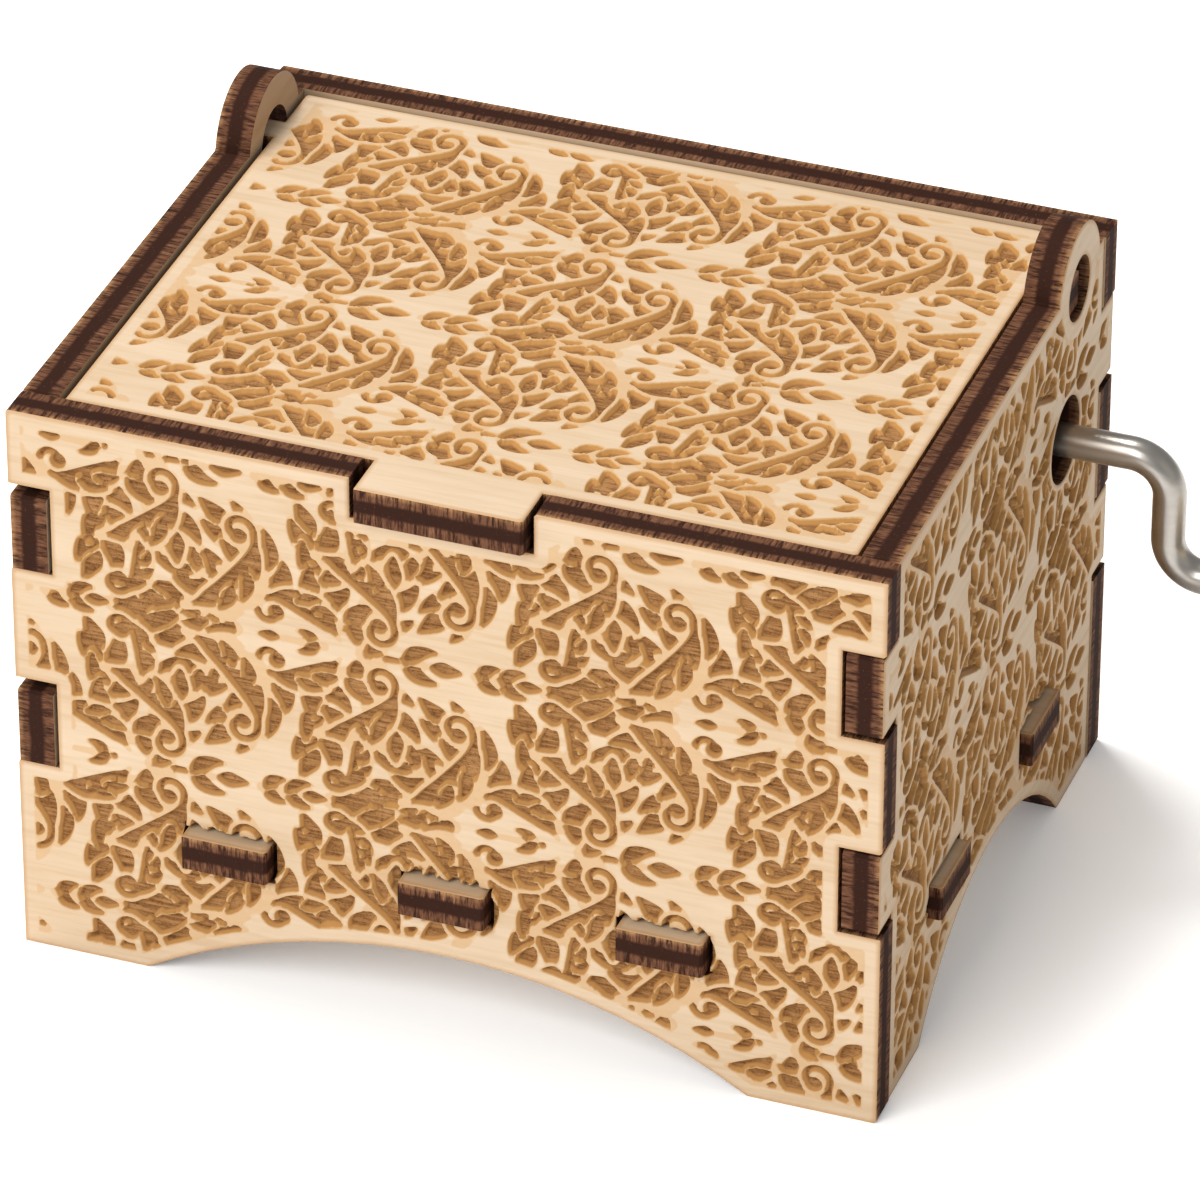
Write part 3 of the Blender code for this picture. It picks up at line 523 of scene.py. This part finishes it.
# %% The motif, back to front
plume((-3.6, 0), (-7, 0.0), (-11.4, 0.0), 4.4, 3)
plume((-2.6, 2.2), (-5.4, 3.2), (-8.8, 6.6), 3.4, 3)
plume((-0.6, 3.2), (-1.4, 6.4), (-5.0, 9.4), 3.3, 3)
plume((2.6, 3.2), (4.0, 6.2), (1.8, 10.4), 3.2, 3)
plume((4.8, 1.8), (8.2, 2.6), (8.4, 7.4), 3.1, 3)
plume((6.0, 0.0), (9.0, 0.0), (12.4, 0.0), 2.6, 2)
scroll((-0.9, 2.0), 1.1, 0.7, -1, (4.4, 0.8), 1.5)
scroll((-5.0, 2.4), 0.8, 0.7, 1, (-1.8, 6.0), 1.0)
plume((3.2, 0.0), (1.6, 0.0), (-1.2, 0.0), 1.7, 1)
scroll((13.2, 4.8), 1.15, 0.75, 1, (9.0, 12.0), 1.7)
scroll((-9.0, 11.0), 1.15, 0.75, -1, (-13.8, 5.6), 1.7)
scroll((-12.6, 1.9), 0.85, 0.7, 1, (-11.0, 6.0), 1.1)
plume((14.6, 0.0), (16.2, 0.0), (18.6, 0.0), 2.0, 2)
print("carved share of the tile", round(float((ornament < 0).mean()), 3))


def ornament_at(x, y):
    """The field at points on a panel, read between the tile's own points."""
    columns = x / TILE_CELL[0] % TILE_COUNT[0]
    rows = y / TILE_CELL[1] % TILE_COUNT[1]
    left, below = np.floor(columns).astype(int), np.floor(rows).astype(int)
    across, up = columns - left, rows - below
    left, below = left % TILE_COUNT[0], below % TILE_COUNT[1]
    right, above = (left + 1) % TILE_COUNT[0], (below + 1) % TILE_COUNT[1]
    lower = ornament[below, left] * (1 - across) + ornament[below, right] * across
    upper = ornament[above, left] * (1 - across) + ornament[above, right] * across
    return lower * (1 - up) + upper * up


# %% [markdown]
# ## Carved panels
#
# A carved panel could be a fine grid pushed down wherever the ornament says so, but steep
# pocket walls need a very fine grid, and most of it would lie in flat wood. Here a coarser
# grid only finds where a few contour lines run: the top and the foot of each pocket's wall,
# the end of the heat tint round it, and two lines along the panel's rim. Then just those
# lines and the panel's outline are joined up into triangles, so that the points lie where
# the surface bends or its tint changes. The outline comes from the solid panel in the frame.

# %% Outlines from the frame
WALL_TOP = 0.06             # where a pocket's wall starts, outside the leaf's edge
WALL_FOOT = -0.14           # and where it ends, inside
CHAMFER = 0.10              # width of the worn edge round a panel
CHAMFER_DROP = 0.06
RIM_BAND = 0.5              # a second line along the rim, just beyond its scorched band
GRID = 0.21
PLAIN_MARGIN = 1.2          # how far the ornament stays from every outline
LONG_EDGE = 0.5             # straight edges from this length on get a grid line
ROUND_POINTS = 8            # a hole with more points than this is round
SAME_PLANE = 1e-6           # metres
RIM_SNAP = 0.004            # grid points this close to a contour line count as on it
LEAF_SNAP = 0.012
KIND_SLACK = 0.02           # how far from its line a triangle's corner may be, to tell its kind
BACK_RIM = 0.3              # what the points of the back say about the rim and the leaves
BACK_LEAF = 1.0
RIM, LEAF = 0, 1            # the two columns of values at each point


def face_edges(node, axis, outward):
    """The outline of a panel's outer face, as segments of two 2-D points in millimetres."""
    mesh = frame["nodes"][node].data
    low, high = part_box(node)
    plane = high[axis] if outward > 0 else low[axis]
    flat = [k for k in range(3) if k != axis]
    seen = {}
    for polygon in mesh.polygons:
        points = [mesh.vertices[i].co for i in polygon.vertices]
        if any(abs(point[axis] - plane) > SAME_PLANE for point in points):
            continue
        keys = [tuple(round(point[k] / MM, 4) for k in flat) for point in points]
        for first, second in zip(keys, keys[1:] + keys[:1]):
            edge = tuple(sorted((first, second)))
            seen[edge] = seen.get(edge, 0) + 1
    return [edge for edge, uses in seen.items() if uses == 1 and edge[0] != edge[1]]


def chained(edges):
    """Sort loose edges into closed loops of points."""
    neighbours = {}
    for first, second in edges:
        neighbours.setdefault(first, []).append(second)
        neighbours.setdefault(second, []).append(first)
    loops = []
    left = set(neighbours)
    while left:
        start = min(left)
        loop = [start]
        left.discard(start)
        while True:
            step = [point for point in neighbours[loop[-1]] if point in left]
            if not step:
                break
            loop.append(step[0])
            left.discard(step[0])
        loops.append(np.array(loop))
    return sorted(loops, key=lambda loop: -np.ptp(loop, axis=0).prod())


def distance_inside(points, loops):
    """How far inside the loops each point lies. Outside them it is below zero."""
    nearest = np.full(len(points), 1e9)
    crossings = np.zeros(len(points), int)
    x, y = points.T
    for loop in loops:
        for a, b in zip(loop, np.roll(loop, -1, axis=0)):
            run = b - a
            share = (((points - a) @ run) / max(run @ run, 1e-12)).clip(0, 1)
            nearest = np.minimum(nearest, np.hypot(x - a[0] - share * run[0], y - a[1] - share * run[1]))
            if a[1] != b[1]:
                spans = (a[1] > y) != (b[1] > y)
                crossings += spans & (x < a[0] + (y - a[1]) / (b[1] - a[1]) * run[0])
    return np.where(crossings % 2 == 1, nearest, -nearest)


# %% Grid, cuts and contours
def grid_lines(loops, axis):
    """Grid lines through every straight edge of the outline, and evenly in between."""
    corners = set()
    for loop in loops:
        for a, b in zip(loop, np.roll(loop, -1, axis=0)):
            if abs(a[axis] - b[axis]) < 1e-6 and np.linalg.norm(a - b) > LONG_EDGE:
                corners.add(round(float(a[axis]), 4))
    values = np.concatenate([loop[:, axis] for loop in loops])
    corners |= {round(float(values.min()), 4), round(float(values.max()), 4)}
    corners = sorted(corners)
    lines = [corners[0]]
    for low, high in zip(corners, corners[1:]):
        count = max(1, math.ceil((high - low) / GRID))
        lines += [low + (high - low) * (i + 1) / count for i in range(count)]
    return np.array(lines)


def cut(points, values, triangles, column, level, snap):
    """Split each triangle that a level line crosses, so that none has corners on both of its sides."""
    side = values[:, column] - level
    side = np.where(np.abs(side) < snap, 0, side)
    count, faces = len(points), len(triangles)
    edges = np.concatenate([triangles[:, [0, 1]], triangles[:, [1, 2]], triangles[:, [2, 0]]])
    edges = np.sort(edges, axis=1)
    crossed = side[edges[:, 0]] * side[edges[:, 1]] < 0
    keys, which = np.unique((edges[:, 0] * count + edges[:, 1])[crossed], return_inverse=True)
    first, second = keys // count, keys % count
    share = (side[first] / (side[first] - side[second]))[:, None]
    points = np.concatenate([points, points[first] + (points[second] - points[first]) * share])
    values = np.concatenate([values, values[first] + (values[second] - values[first]) * share])
    middle = np.full(3 * faces, -1)
    middle[crossed] = count + which
    middle = middle.reshape(3, faces).T
    parts = [triangles[(middle < 0).all(axis=1)]]
    for turn in range(3):
        order = [(turn + k) % 3 for k in range(3)]
        t, m = triangles[:, order], middle[:, order]
        both = (m[:, 0] >= 0) & (m[:, 2] >= 0)
        a, b, c, ab, ca = t[both, 0], t[both, 1], t[both, 2], m[both, 0], m[both, 2]
        parts += [np.stack(three, 1) for three in ((a, ab, ca), (ab, b, c), (ab, c, ca))]
        single = (m[:, 0] >= 0) & (m[:, 1] < 0) & (m[:, 2] < 0)
        a, b, c, ab = t[single, 0], t[single, 1], t[single, 2], m[single, 0]
        parts += [np.stack(three, 1) for three in ((a, ab, c), (ab, b, c))]
    return points, values, np.concatenate(parts)


def all_edges(triangles):
    """Each edge of the triangles once, and how many triangles use it."""
    edges = np.concatenate([triangles[:, [0, 1]], triangles[:, [1, 2]], triangles[:, [2, 0]]])
    return np.unique(np.sort(edges, axis=1), axis=0, return_counts=True)


def kept_lines(points, values, triangles, levels):
    """The edges that the final surface has to keep: level lines and the outline."""
    edges, uses = all_edges(triangles)
    keep = uses == 1
    for column, level, snap in levels:
        on_line = np.abs(values[:, column] - level) < snap * 1.01 + 1e-9
        keep |= on_line[edges[:, 0]] & on_line[edges[:, 1]]
    edges = edges[keep]
    used, renumbered = np.unique(edges, return_inverse=True)
    return points[used], values[used], renumbered.reshape(-1, 2)


def joined_up(points, edges):
    """Triangles between the kept lines, wound anticlockwise."""
    made = delaunay_2d_cdt([Vector(point) for point in points], edges.tolist(), [], 0, 1e-7)
    if len(made[0]) != len(points):
        print("the triangulation merged", len(points) - len(made[0]), "points")
    places = np.array([tuple(point) for point in made[0]])
    source = np.array([which[0] if which else -1 for which in made[3]])
    return places, source, np.array(made[2])


# %% The panel itself
FACE_KIND, POCKET_KIND, WALL_KIND, EDGE_KIND, BACK_KIND = range(5)
SEEN_MIRRORED = ((1, 1), (0, -1), (2, -1))      # from outside, these faces' two axes are swapped


def ornament_on(points, loops, origin, margins, window):
    """The ornament's field on a panel, kept off its rim, its round holes and a window's surroundings."""
    field = ornament_at(points[:, 0] - origin[0], points[:, 1] - origin[1])
    plain = PLAIN_MARGIN - np.abs(distance_inside(points, loops[:1]))
    round_holes = [loop for loop in loops[1:] if len(loop) > ROUND_POINTS]
    for hole, margin in zip(round_holes, margins):
        middle = hole.mean(axis=0)
        radius = np.linalg.norm(hole - middle, axis=1).max()
        plain = np.maximum(plain, radius + margin - np.linalg.norm(points - middle, axis=1))
    if window is not None:
        beyond = np.maximum(np.array(window[0]) - points, points - window[1]).max(axis=1)
        plain = np.maximum(plain, beyond + PLAIN_MARGIN)
    return np.maximum(field, plain)


def face_lines(loops, origin, margins, window):
    """The points and edges of the outer face: its outline and its contour lines."""
    columns, rows = grid_lines(loops, 0), grid_lines(loops, 1)
    across, up = np.meshgrid(columns, rows)
    points = np.stack([across.ravel(), up.ravel()], 1)
    rim = distance_inside(points, loops)
    if origin is None:
        field = np.full(len(points), FAR)
    else:
        field = ornament_on(points, loops, origin, margins, window)
    values = np.stack([rim, field], 1)
    wide = len(columns)
    cell = (np.arange(len(rows) - 1)[:, None] * wide + np.arange(wide - 1)[None, :]).ravel()
    triangles = np.concatenate([
        np.stack([cell, cell + 1, cell + wide + 1], 1),
        np.stack([cell, cell + wide + 1, cell + wide], 1),
    ])
    points, values, triangles = cut(points, values, triangles, RIM, 0.0, 1e-4)
    triangles = triangles[values[triangles, RIM].mean(axis=1) > 1e-5]
    levels = [(RIM, level, RIM_SNAP) for level in (CHAMFER, RIM_BAND)]
    levels += [(LEAF, level, LEAF_SNAP) for level in (HALO, WALL_TOP, WALL_FOOT)]
    for column, level, snap in levels:
        points, values, triangles = cut(points, values, triangles, column, level, snap)
    return kept_lines(points, values, triangles, levels)


def panel_mesh(name, points, triangles, kinds, attributes, finishes):
    """A mesh in metres with a finish for each kind of triangle and its attributes."""
    mesh = bpy.data.meshes.new(name)
    mesh.vertices.add(len(points))
    mesh.vertices.foreach_set("co", (points * MM).astype(np.float32).ravel())
    mesh.loops.add(triangles.size)
    mesh.loops.foreach_set("vertex_index", triangles.astype(np.int32).ravel())
    mesh.polygons.add(len(triangles))
    mesh.polygons.foreach_set("loop_start", np.arange(0, triangles.size, 3, dtype=np.int32))
    mesh.polygons.foreach_set("material_index", kinds.astype(np.int32))
    mesh.update(calc_edges=True)
    for label, values in attributes.items():
        layer = mesh.attributes.new(label, "FLOAT", "POINT")
        layer.data.foreach_set("value", values.astype(np.float32))
    for finish in finishes:
        mesh.materials.append(finish)
    mesh.polygons.foreach_set("use_smooth", (kinds == WALL_KIND).tolist())
    mesh.validate()
    return mesh


def carved_panel(name, node, axis, outward, finishes, origin=None, margins=(), window=None):
    """A panel with the ornament in its outer face, or without it where no origin is given."""
    loops = chained(face_edges(node, axis, outward))
    points, values, edges = face_lines(loops, origin, margins, window)
    places, source, faces = joined_up(points, edges)
    values = np.where(source[:, None] >= 0, values[source], 0.0)
    faces = faces[distance_inside(places[faces].mean(axis=1), loops) > 0]

    low, high = (np.array(corner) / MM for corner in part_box(node))
    thickness = high[axis] - low[axis]
    outer = high[axis] if outward > 0 else low[axis]
    depth = POCKET_DEPTH * ((WALL_TOP - values[:, LEAF]) / (WALL_TOP - WALL_FOOT)).clip(0, 1)
    depth += CHAMFER_DROP * (1 - values[:, RIM] / CHAMFER).clip(0, 1)
    edge_list, uses = all_edges(faces)
    outline = edge_list[uses == 1]
    rim_points = np.unique(outline)
    flat = [k for k in range(3) if k != axis]
    solid = np.zeros((len(places) + len(rim_points), 3))
    solid[:, flat] = np.concatenate([places, places[rim_points]])
    solid[:len(places), axis] = outer - outward * depth
    solid[len(places):, axis] = outer - outward * thickness

    raised = values[faces, LEAF].min(axis=1) > WALL_TOP - KIND_SLACK
    sunk = values[faces, LEAF].max(axis=1) < WALL_FOOT + KIND_SLACK
    kinds = np.where(raised, FACE_KIND, np.where(sunk, POCKET_KIND, WALL_KIND))
    directed = np.concatenate([faces[:, [0, 1]], faces[:, [1, 2]], faces[:, [2, 0]]])
    lone = {tuple(edge) for edge in outline.tolist()}
    rim_edges = np.array([edge for edge in directed.tolist() if tuple(sorted(edge)) in lone])
    order = np.full(len(places), -1)
    order[rim_points] = np.arange(len(rim_points))
    a, b = rim_edges.T
    below_a, below_b = len(places) + order[a], len(places) + order[b]
    sides = np.concatenate([np.stack([b, a, below_a], 1), np.stack([b, below_a, below_b], 1)])
    back_places, back_source, back_faces = joined_up(places[rim_points], order[outline])
    inside = distance_inside(back_places[back_faces].mean(axis=1), loops) > 0
    back_faces = (len(places) + back_source[back_faces[inside]])[:, ::-1]
    every = np.concatenate([faces, sides, back_faces])
    side_kinds = np.full(len(sides), EDGE_KIND)
    kinds = np.concatenate([kinds, side_kinds, np.full(len(back_faces), BACK_KIND)])
    if (axis, outward) in SEEN_MIRRORED:
        every = every[:, ::-1]

    attributes = {
        "rim": np.concatenate([values[:, RIM], np.full(len(rim_points), BACK_RIM)]),
        "leaf_distance": np.concatenate([values[:, LEAF], np.full(len(rim_points), BACK_LEAF)]),
    }
    mesh = panel_mesh(name, solid, every, kinds, attributes, finishes)
    piece = bpy.data.objects.new(name, mesh)
    bpy.context.collection.objects.link(piece)
    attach(piece, frame["nodes"][node]["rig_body"])
    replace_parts(piece, node)
    in_pockets = round(float((kinds == POCKET_KIND).mean()), 2)
    print(name, len(every), "triangles,", in_pockets, "of them in pockets")
    return piece


def finishes_for(name, along, through, outward, node):
    """The finishes of one panel: face, pocket, wall with painted shade, edge and back."""
    low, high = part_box(node)
    outer, inner = (high[through], low[through]) if outward > 0 else (low[through], high[through])
    face = face_wood(name + "_face", along)
    return (
        face,
        pocket_wood(name + "_pocket", along),
        wall_wood_painted_shade(name + "_wall_painted_shade", through, outer, outward),
        edge_wood(name + "_edge", through, outer, inner),
        face,
    )


# %% Front, back, sides and lid
# piece, node, axis through the sheet, side that faces out, axis of the grain, where the
# ornament starts, and how far it stays from each round hole
PANELS = (
    ("carved_front", "front_panel", 1, -1, 0, (-40.0, 18.0), ()),
    ("carved_back", "back_panel", 1, 1, 0, (-31.0, 22.0), ()),
    ("carved_left_side", "left_side_panel", 0, -1, 1, (3.0, 20.0), (1.4,)),
    ("carved_right_side", "right_side_panel", 0, 1, 1, (-8.0, 24.0), (0.5, 1.4)),
    ("carved_lid", "lid", 2, 1, 0, (-36.0, -4.0), ()),
)
LID_BODY = ((-41.4, -23.2), (18.3, 23.2))       # the lid without its hinge ears and front tab
for name, node, axis, outward, along, origin, margins in PANELS:
    window = LID_BODY if node == "lid" else None
    finishes = finishes_for(name, along, axis, outward, node)
    piece = carved_panel(name, node, axis, outward, finishes, origin, margins, window)


# %% [markdown]
# ## The floor panel, the metals and the knob's plastic
#
# The floor panel isn't carved, but its tabs stick out through the walls, so it gets the same
# burnt edges. Next come the finishes of everything that isn't wood. A bare metal colour would
# look like plastic, so each metal gets fine brushing along one axis and small dull patches.

# %% Floor
floor_finishes = finishes_for("floor", 0, 2, 1, "floor_panel")
floor_piece = carved_panel("floor_board", "floor_panel", 2, 1, floor_finishes)


# %% Metals and plastic
BRUSH_ALONG = 60.0
BRUSH_ACROSS = 2400.0
SHADE = 0.72


def metal(name, color, roughness, along, brushing=0.25):
    """A metal brushed along one axis, with small duller patches."""
    paint = Paint(name, metallic=1.0)
    scale = tuple(BRUSH_ALONG if axis == along else BRUSH_ACROSS for axis in range(3))
    brushed = paint.noise(paint.stretched(scale), 1.0, 3.0, 0.6)
    patches = paint.noise(paint.places(), 240.0, 3.0, 0.6)
    darker = tuple(channel * SHADE for channel in color)
    dull = brushed * 0.5 + patches.step(0.4, 0.7) * 0.4
    paint.color(paint.mix(dull.clamped(), color, darker))
    paint.rough(roughness + 0.16 * brushed + 0.08 * patches)
    paint.bump(brushed, brushing, 0.00002)
    return paint.material


NICKEL = (0.48, 0.45, 0.41)
STEEL = (0.50, 0.49, 0.47)
BRASS = (0.80, 0.56, 0.22)
ZINC = (0.42, 0.42, 0.43)
LEAD = (0.16, 0.16, 0.17)
nickel = metal("nickel_wire", NICKEL, 0.20, 0, 0.12)
steel_across = metal("steel_along_x", STEEL, 0.28, 0)
steel_upright = metal("steel_along_z", STEEL, 0.32, 2)
brass = metal("turned_brass", BRASS, 0.24, 1)
zinc = metal("cast_zinc", ZINC, 0.45, 0, 0.1)
lead = metal("dull_lead", LEAD, 0.6, 0, 0.1)


METAL_OF_SLOT = {
    "zinc_bed": zinc,
    "spring_steel": steel_across,
    "sheet_steel": steel_upright,
    "lead": lead,
    "brass": brass,
    "bright_steel": nickel,
}
slots = {row["node"]: row["material_slot"] for row in frame["record"]["subparts"]}


def knob_plastic():
    """Ivory plastic with faint swirls and a thin gloss."""
    paint = Paint("ivory_knob", coat_weight=0.25, coat_roughness=0.2)
    swirl = paint.noise(paint.places(), 160.0, 4.0, 0.6)
    grain = paint.noise(paint.places(), 1800.0, 3.0, 0.6)
    paint.color(paint.mix(swirl.step(0.3, 0.7), (0.80, 0.74, 0.62), (0.72, 0.64, 0.50)))
    paint.rough(0.32 + 0.12 * grain)
    paint.bump(grain, 0.15, 0.00004)
    return paint.material


print("metals for the slots", sorted(METAL_OF_SLOT))

# %% [markdown]
# ## The crank rod and its knob
#
# The crank is one steel wire with two bends, pinched flat just before the knob so that the
# knob can't slide up the arm, and with a head at its end so that the knob can't fall off. It
# could be a chain of cylinders with balls at the bends, but the seams would show in the
# highlight. Here a ring of points is carried along the centre line, always square to it.

# %% Bent wire
ROD_R = 1.25
JOURNAL_R = 0.9             # the thin end that turns inside the movement
JOURNAL_TIP_R = 0.7
BEND_R = 3.0                # radius of the centre line in a bend
BEND_POINTS = 20
ARM_X = 29.15
SHAFT_Y = 15.3
SHAFT_Z = 33.0
SHOULDER_X = 9.15           # here the thin journal becomes the thick wire
ARM_LENGTH = 9.5
SHOULDER_LENGTH = 0.35
HEAD_X = 44.15              # the end of the wire, but for the head's crown
HEAD_R = ROD_R + 0.6
FIN_X = ARM_X + BEND_R + 0.3
FIN_LENGTH = 1.7            # the pinched stretch, with its run-in and run-out
FIN_HALF = (1.9, 0.75)      # half width and half thickness where the wire is pinched most
FIN_POINTS = 15
# the head, as distances before HEAD_X and radii
HEAD_PROFILE = (
    (1.0, ROD_R),
    (0.8, HEAD_R - 0.15),
    (0.7, HEAD_R),
    (0.25, HEAD_R),
    (0.05, HEAD_R - 0.2),
    (-0.1, HEAD_R - 0.6),
)
RING = 48
SHARP_ANGLE = 38            # degrees


def bend(middle_x, middle_z, start, end):
    """The points of one bend in the XZ plane, through angles in degrees."""
    angles = np.radians(np.linspace(start, end, BEND_POINTS))
    return [
        (middle_x + BEND_R * math.cos(angle), middle_z + BEND_R * math.sin(angle), ROD_R, ROD_R)
        for angle in angles
    ]


def wire_stations(journal_end):
    """Centre line and half sizes (across the plane of the bends, and in it) along the wire."""
    top, low = SHAFT_Z, SHAFT_Z - ARM_LENGTH
    stations = [
        (journal_end, top, JOURNAL_TIP_R, JOURNAL_TIP_R),
        (journal_end + 0.2, top, JOURNAL_R, JOURNAL_R),
        (SHOULDER_X, top, JOURNAL_R, JOURNAL_R),
        (SHOULDER_X + SHOULDER_LENGTH, top, ROD_R, ROD_R),
    ]
    stations += bend(ARM_X - BEND_R, top - BEND_R, 90, 0)
    stations += bend(ARM_X + BEND_R, low + BEND_R, 180, 270)
    for t in np.linspace(0, 1, FIN_POINTS):
        pinch = math.sin(math.pi * t) ** 0.6
        wide, thin = (ROD_R + (half - ROD_R) * pinch for half in FIN_HALF)
        stations.append((FIN_X + FIN_LENGTH * t, low, wide, thin))
    stations += [(HEAD_X - before, low, radius, radius) for before, radius in HEAD_PROFILE]
    return np.array(stations)


def tube_mesh(name, centers, normals, halves):
    """A closed tube round a centre line in the XZ plane."""
    mesh = bmesh.new()
    rings = []
    for (x, z), (nx, nz), (wide, thin) in zip(centers, normals, halves):
        ring = []
        for k in range(RING):
            angle = 2 * math.pi * k / RING
            across, up = wide * math.cos(angle), thin * math.sin(angle)
            place = Vector((x + nx * up, SHAFT_Y + across, z + nz * up))
            ring.append(mesh.verts.new(place * MM))
        rings.append(ring)
    for first, second in zip(rings, rings[1:]):
        for k in range(RING):
            n = (k + 1) % RING
            mesh.faces.new((first[k], first[n], second[n], second[k]))
    mesh.faces.new(rings[0])
    mesh.faces.new(rings[-1])
    bmesh.ops.recalc_face_normals(mesh, faces=mesh.faces)
    data = bpy.data.meshes.new(name)
    mesh.to_mesh(data)
    mesh.free()
    return data


def smooth_piece(name, data, finish, node):
    """Put a mesh on show in place of a frame node, smooth but for its sharp edges."""
    data.materials.append(finish)
    piece = bpy.data.objects.new(name, data)
    bpy.context.collection.objects.link(piece)
    data.polygons.foreach_set("use_smooth", [True] * len(data.polygons))
    data.set_sharp_from_angle(angle=math.radians(SHARP_ANGLE))
    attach(piece, frame["nodes"][node]["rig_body"])
    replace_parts(piece, node)
    return piece


stations = wire_stations(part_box("crank_rod")[0][0] / MM)
centers = stations[:, :2]
steps = np.gradient(centers, axis=0)
steps /= np.linalg.norm(steps, axis=1)[:, None]
normals = np.stack([-steps[:, 1], steps[:, 0]], 1)
wire_data = tube_mesh("crank_wire", centers, normals, stations[:, 2:])
wire = smooth_piece("crank_wire", wire_data, nickel, "crank_rod")
print("wire of", len(wire.data.polygons), "faces")


# %% Knob
KNOB_RING = 96
NOSE = ((0.0, 2.6), (0.08, 2.75))                   # distance from the near end, radius
TAIL = ((0.2, 3.35), (0.0, 2.95))                   # distance from the far end, radius
WAIST = 1.1                                         # how much thinner the belly's ends are
BORE_R = ROD_R + 0.15
RECESS_R = ROD_R + 0.85                             # where the wire's head sits
RECESS_DEPTH = 2.3
LIP = 0.15
BELLY_POINTS = 30


def turned_mesh(name, profile, y, z):
    """A closed ring turned about an axis along X."""
    mesh = bmesh.new()
    rings = []
    for x, radius in profile:
        ring = []
        for k in range(KNOB_RING):
            angle = 2 * math.pi * k / KNOB_RING
            place = Vector((x, y + radius * math.cos(angle), z + radius * math.sin(angle)))
            ring.append(mesh.verts.new(place * MM))
        rings.append(ring)
    for first, second in zip(rings, rings[1:] + rings[:1]):
        for k in range(KNOB_RING):
            n = (k + 1) % KNOB_RING
            mesh.faces.new((first[k], first[n], second[n], second[k]))
    bmesh.ops.recalc_face_normals(mesh, faces=mesh.faces)
    data = bpy.data.meshes.new(name)
    mesh.to_mesh(data)
    mesh.free()
    return data


def knob_profile(start, end, belly):
    """The knob's outline from its near end over the belly and back through the bore."""
    profile = [(start, BORE_R + LIP)]
    profile += [(start + after, radius) for after, radius in NOSE]
    for t in np.linspace(0, 1, BELLY_POINTS):
        radius = belly - WAIST * (1 - math.sin(math.pi * (0.12 + 0.78 * t)))
        profile.append((start + 0.5 + (end - start - 1.0) * t, radius))
    profile += [(end - before, radius) for before, radius in TAIL]
    profile += [(end, RECESS_R + LIP), (end - LIP, RECESS_R)]
    profile += [(end - RECESS_DEPTH, RECESS_R), (end - RECESS_DEPTH, BORE_R)]
    return profile + [(start + LIP, BORE_R)]


knob_low, knob_high = (Vector(corner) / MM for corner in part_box("crank_knob"))
knob_middle = (knob_low + knob_high) / 2
belly = (knob_high.z - knob_low.z) / 2
profile = knob_profile(knob_low.x, knob_high.x, belly)
knob_data = turned_mesh("turned_knob", profile, knob_middle.y, knob_middle.z)
knob = smooth_piece("turned_knob", knob_data, knob_plastic(), "crank_knob")
print("knob of", len(knob.data.polygons), "faces")


# %% Finishes for the rest of the metal
replaced = {node for obj in bpy.data.objects if "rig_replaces" in obj for node in obj["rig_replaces"]}
for node, obj in frame["nodes"].items():
    if node in replaced:
        continue
    obj.data.materials.clear()
    obj.data.materials.append(METAL_OF_SLOT[slots[node]])
print("metal pieces", len(frame["nodes"]) - len(replaced))


# %% [markdown]
#
# The table is a wide white sheet just under the feet. It is so large that its edges never
# show.

# %% Table
TABLE_HALF = 6.0
TABLE_GLOW = 0.16           # keeps the white from turning grey away from the lamps


def table_white():
    """A matt white that is hardly mottled."""
    paint = Paint("white_table", roughness=0.85, specular_ior_level=0.1,
                  emission_strength=TABLE_GLOW)
    paint.feed(paint.shader.inputs["Emission Color"], (1.0, 1.0, 1.0))
    paper = paint.noise(paint.places(), 90.0, 3.0, 0.5)
    paint.color(paint.mix(paper, (0.97, 0.97, 0.975), (1.0, 1.0, 1.0)))
    return paint.material


table_mesh = bmesh.new()
bmesh.ops.create_grid(table_mesh, x_segments=2, y_segments=2, size=TABLE_HALF)
table_data = bpy.data.meshes.new("table_top")
table_mesh.to_mesh(table_data)
table_mesh.free()
table_data.materials.append(table_white())
table = bpy.data.objects.new("table_top", table_data)
bpy.context.collection.objects.link(table)
print("table", 2 * TABLE_HALF, "metres wide")
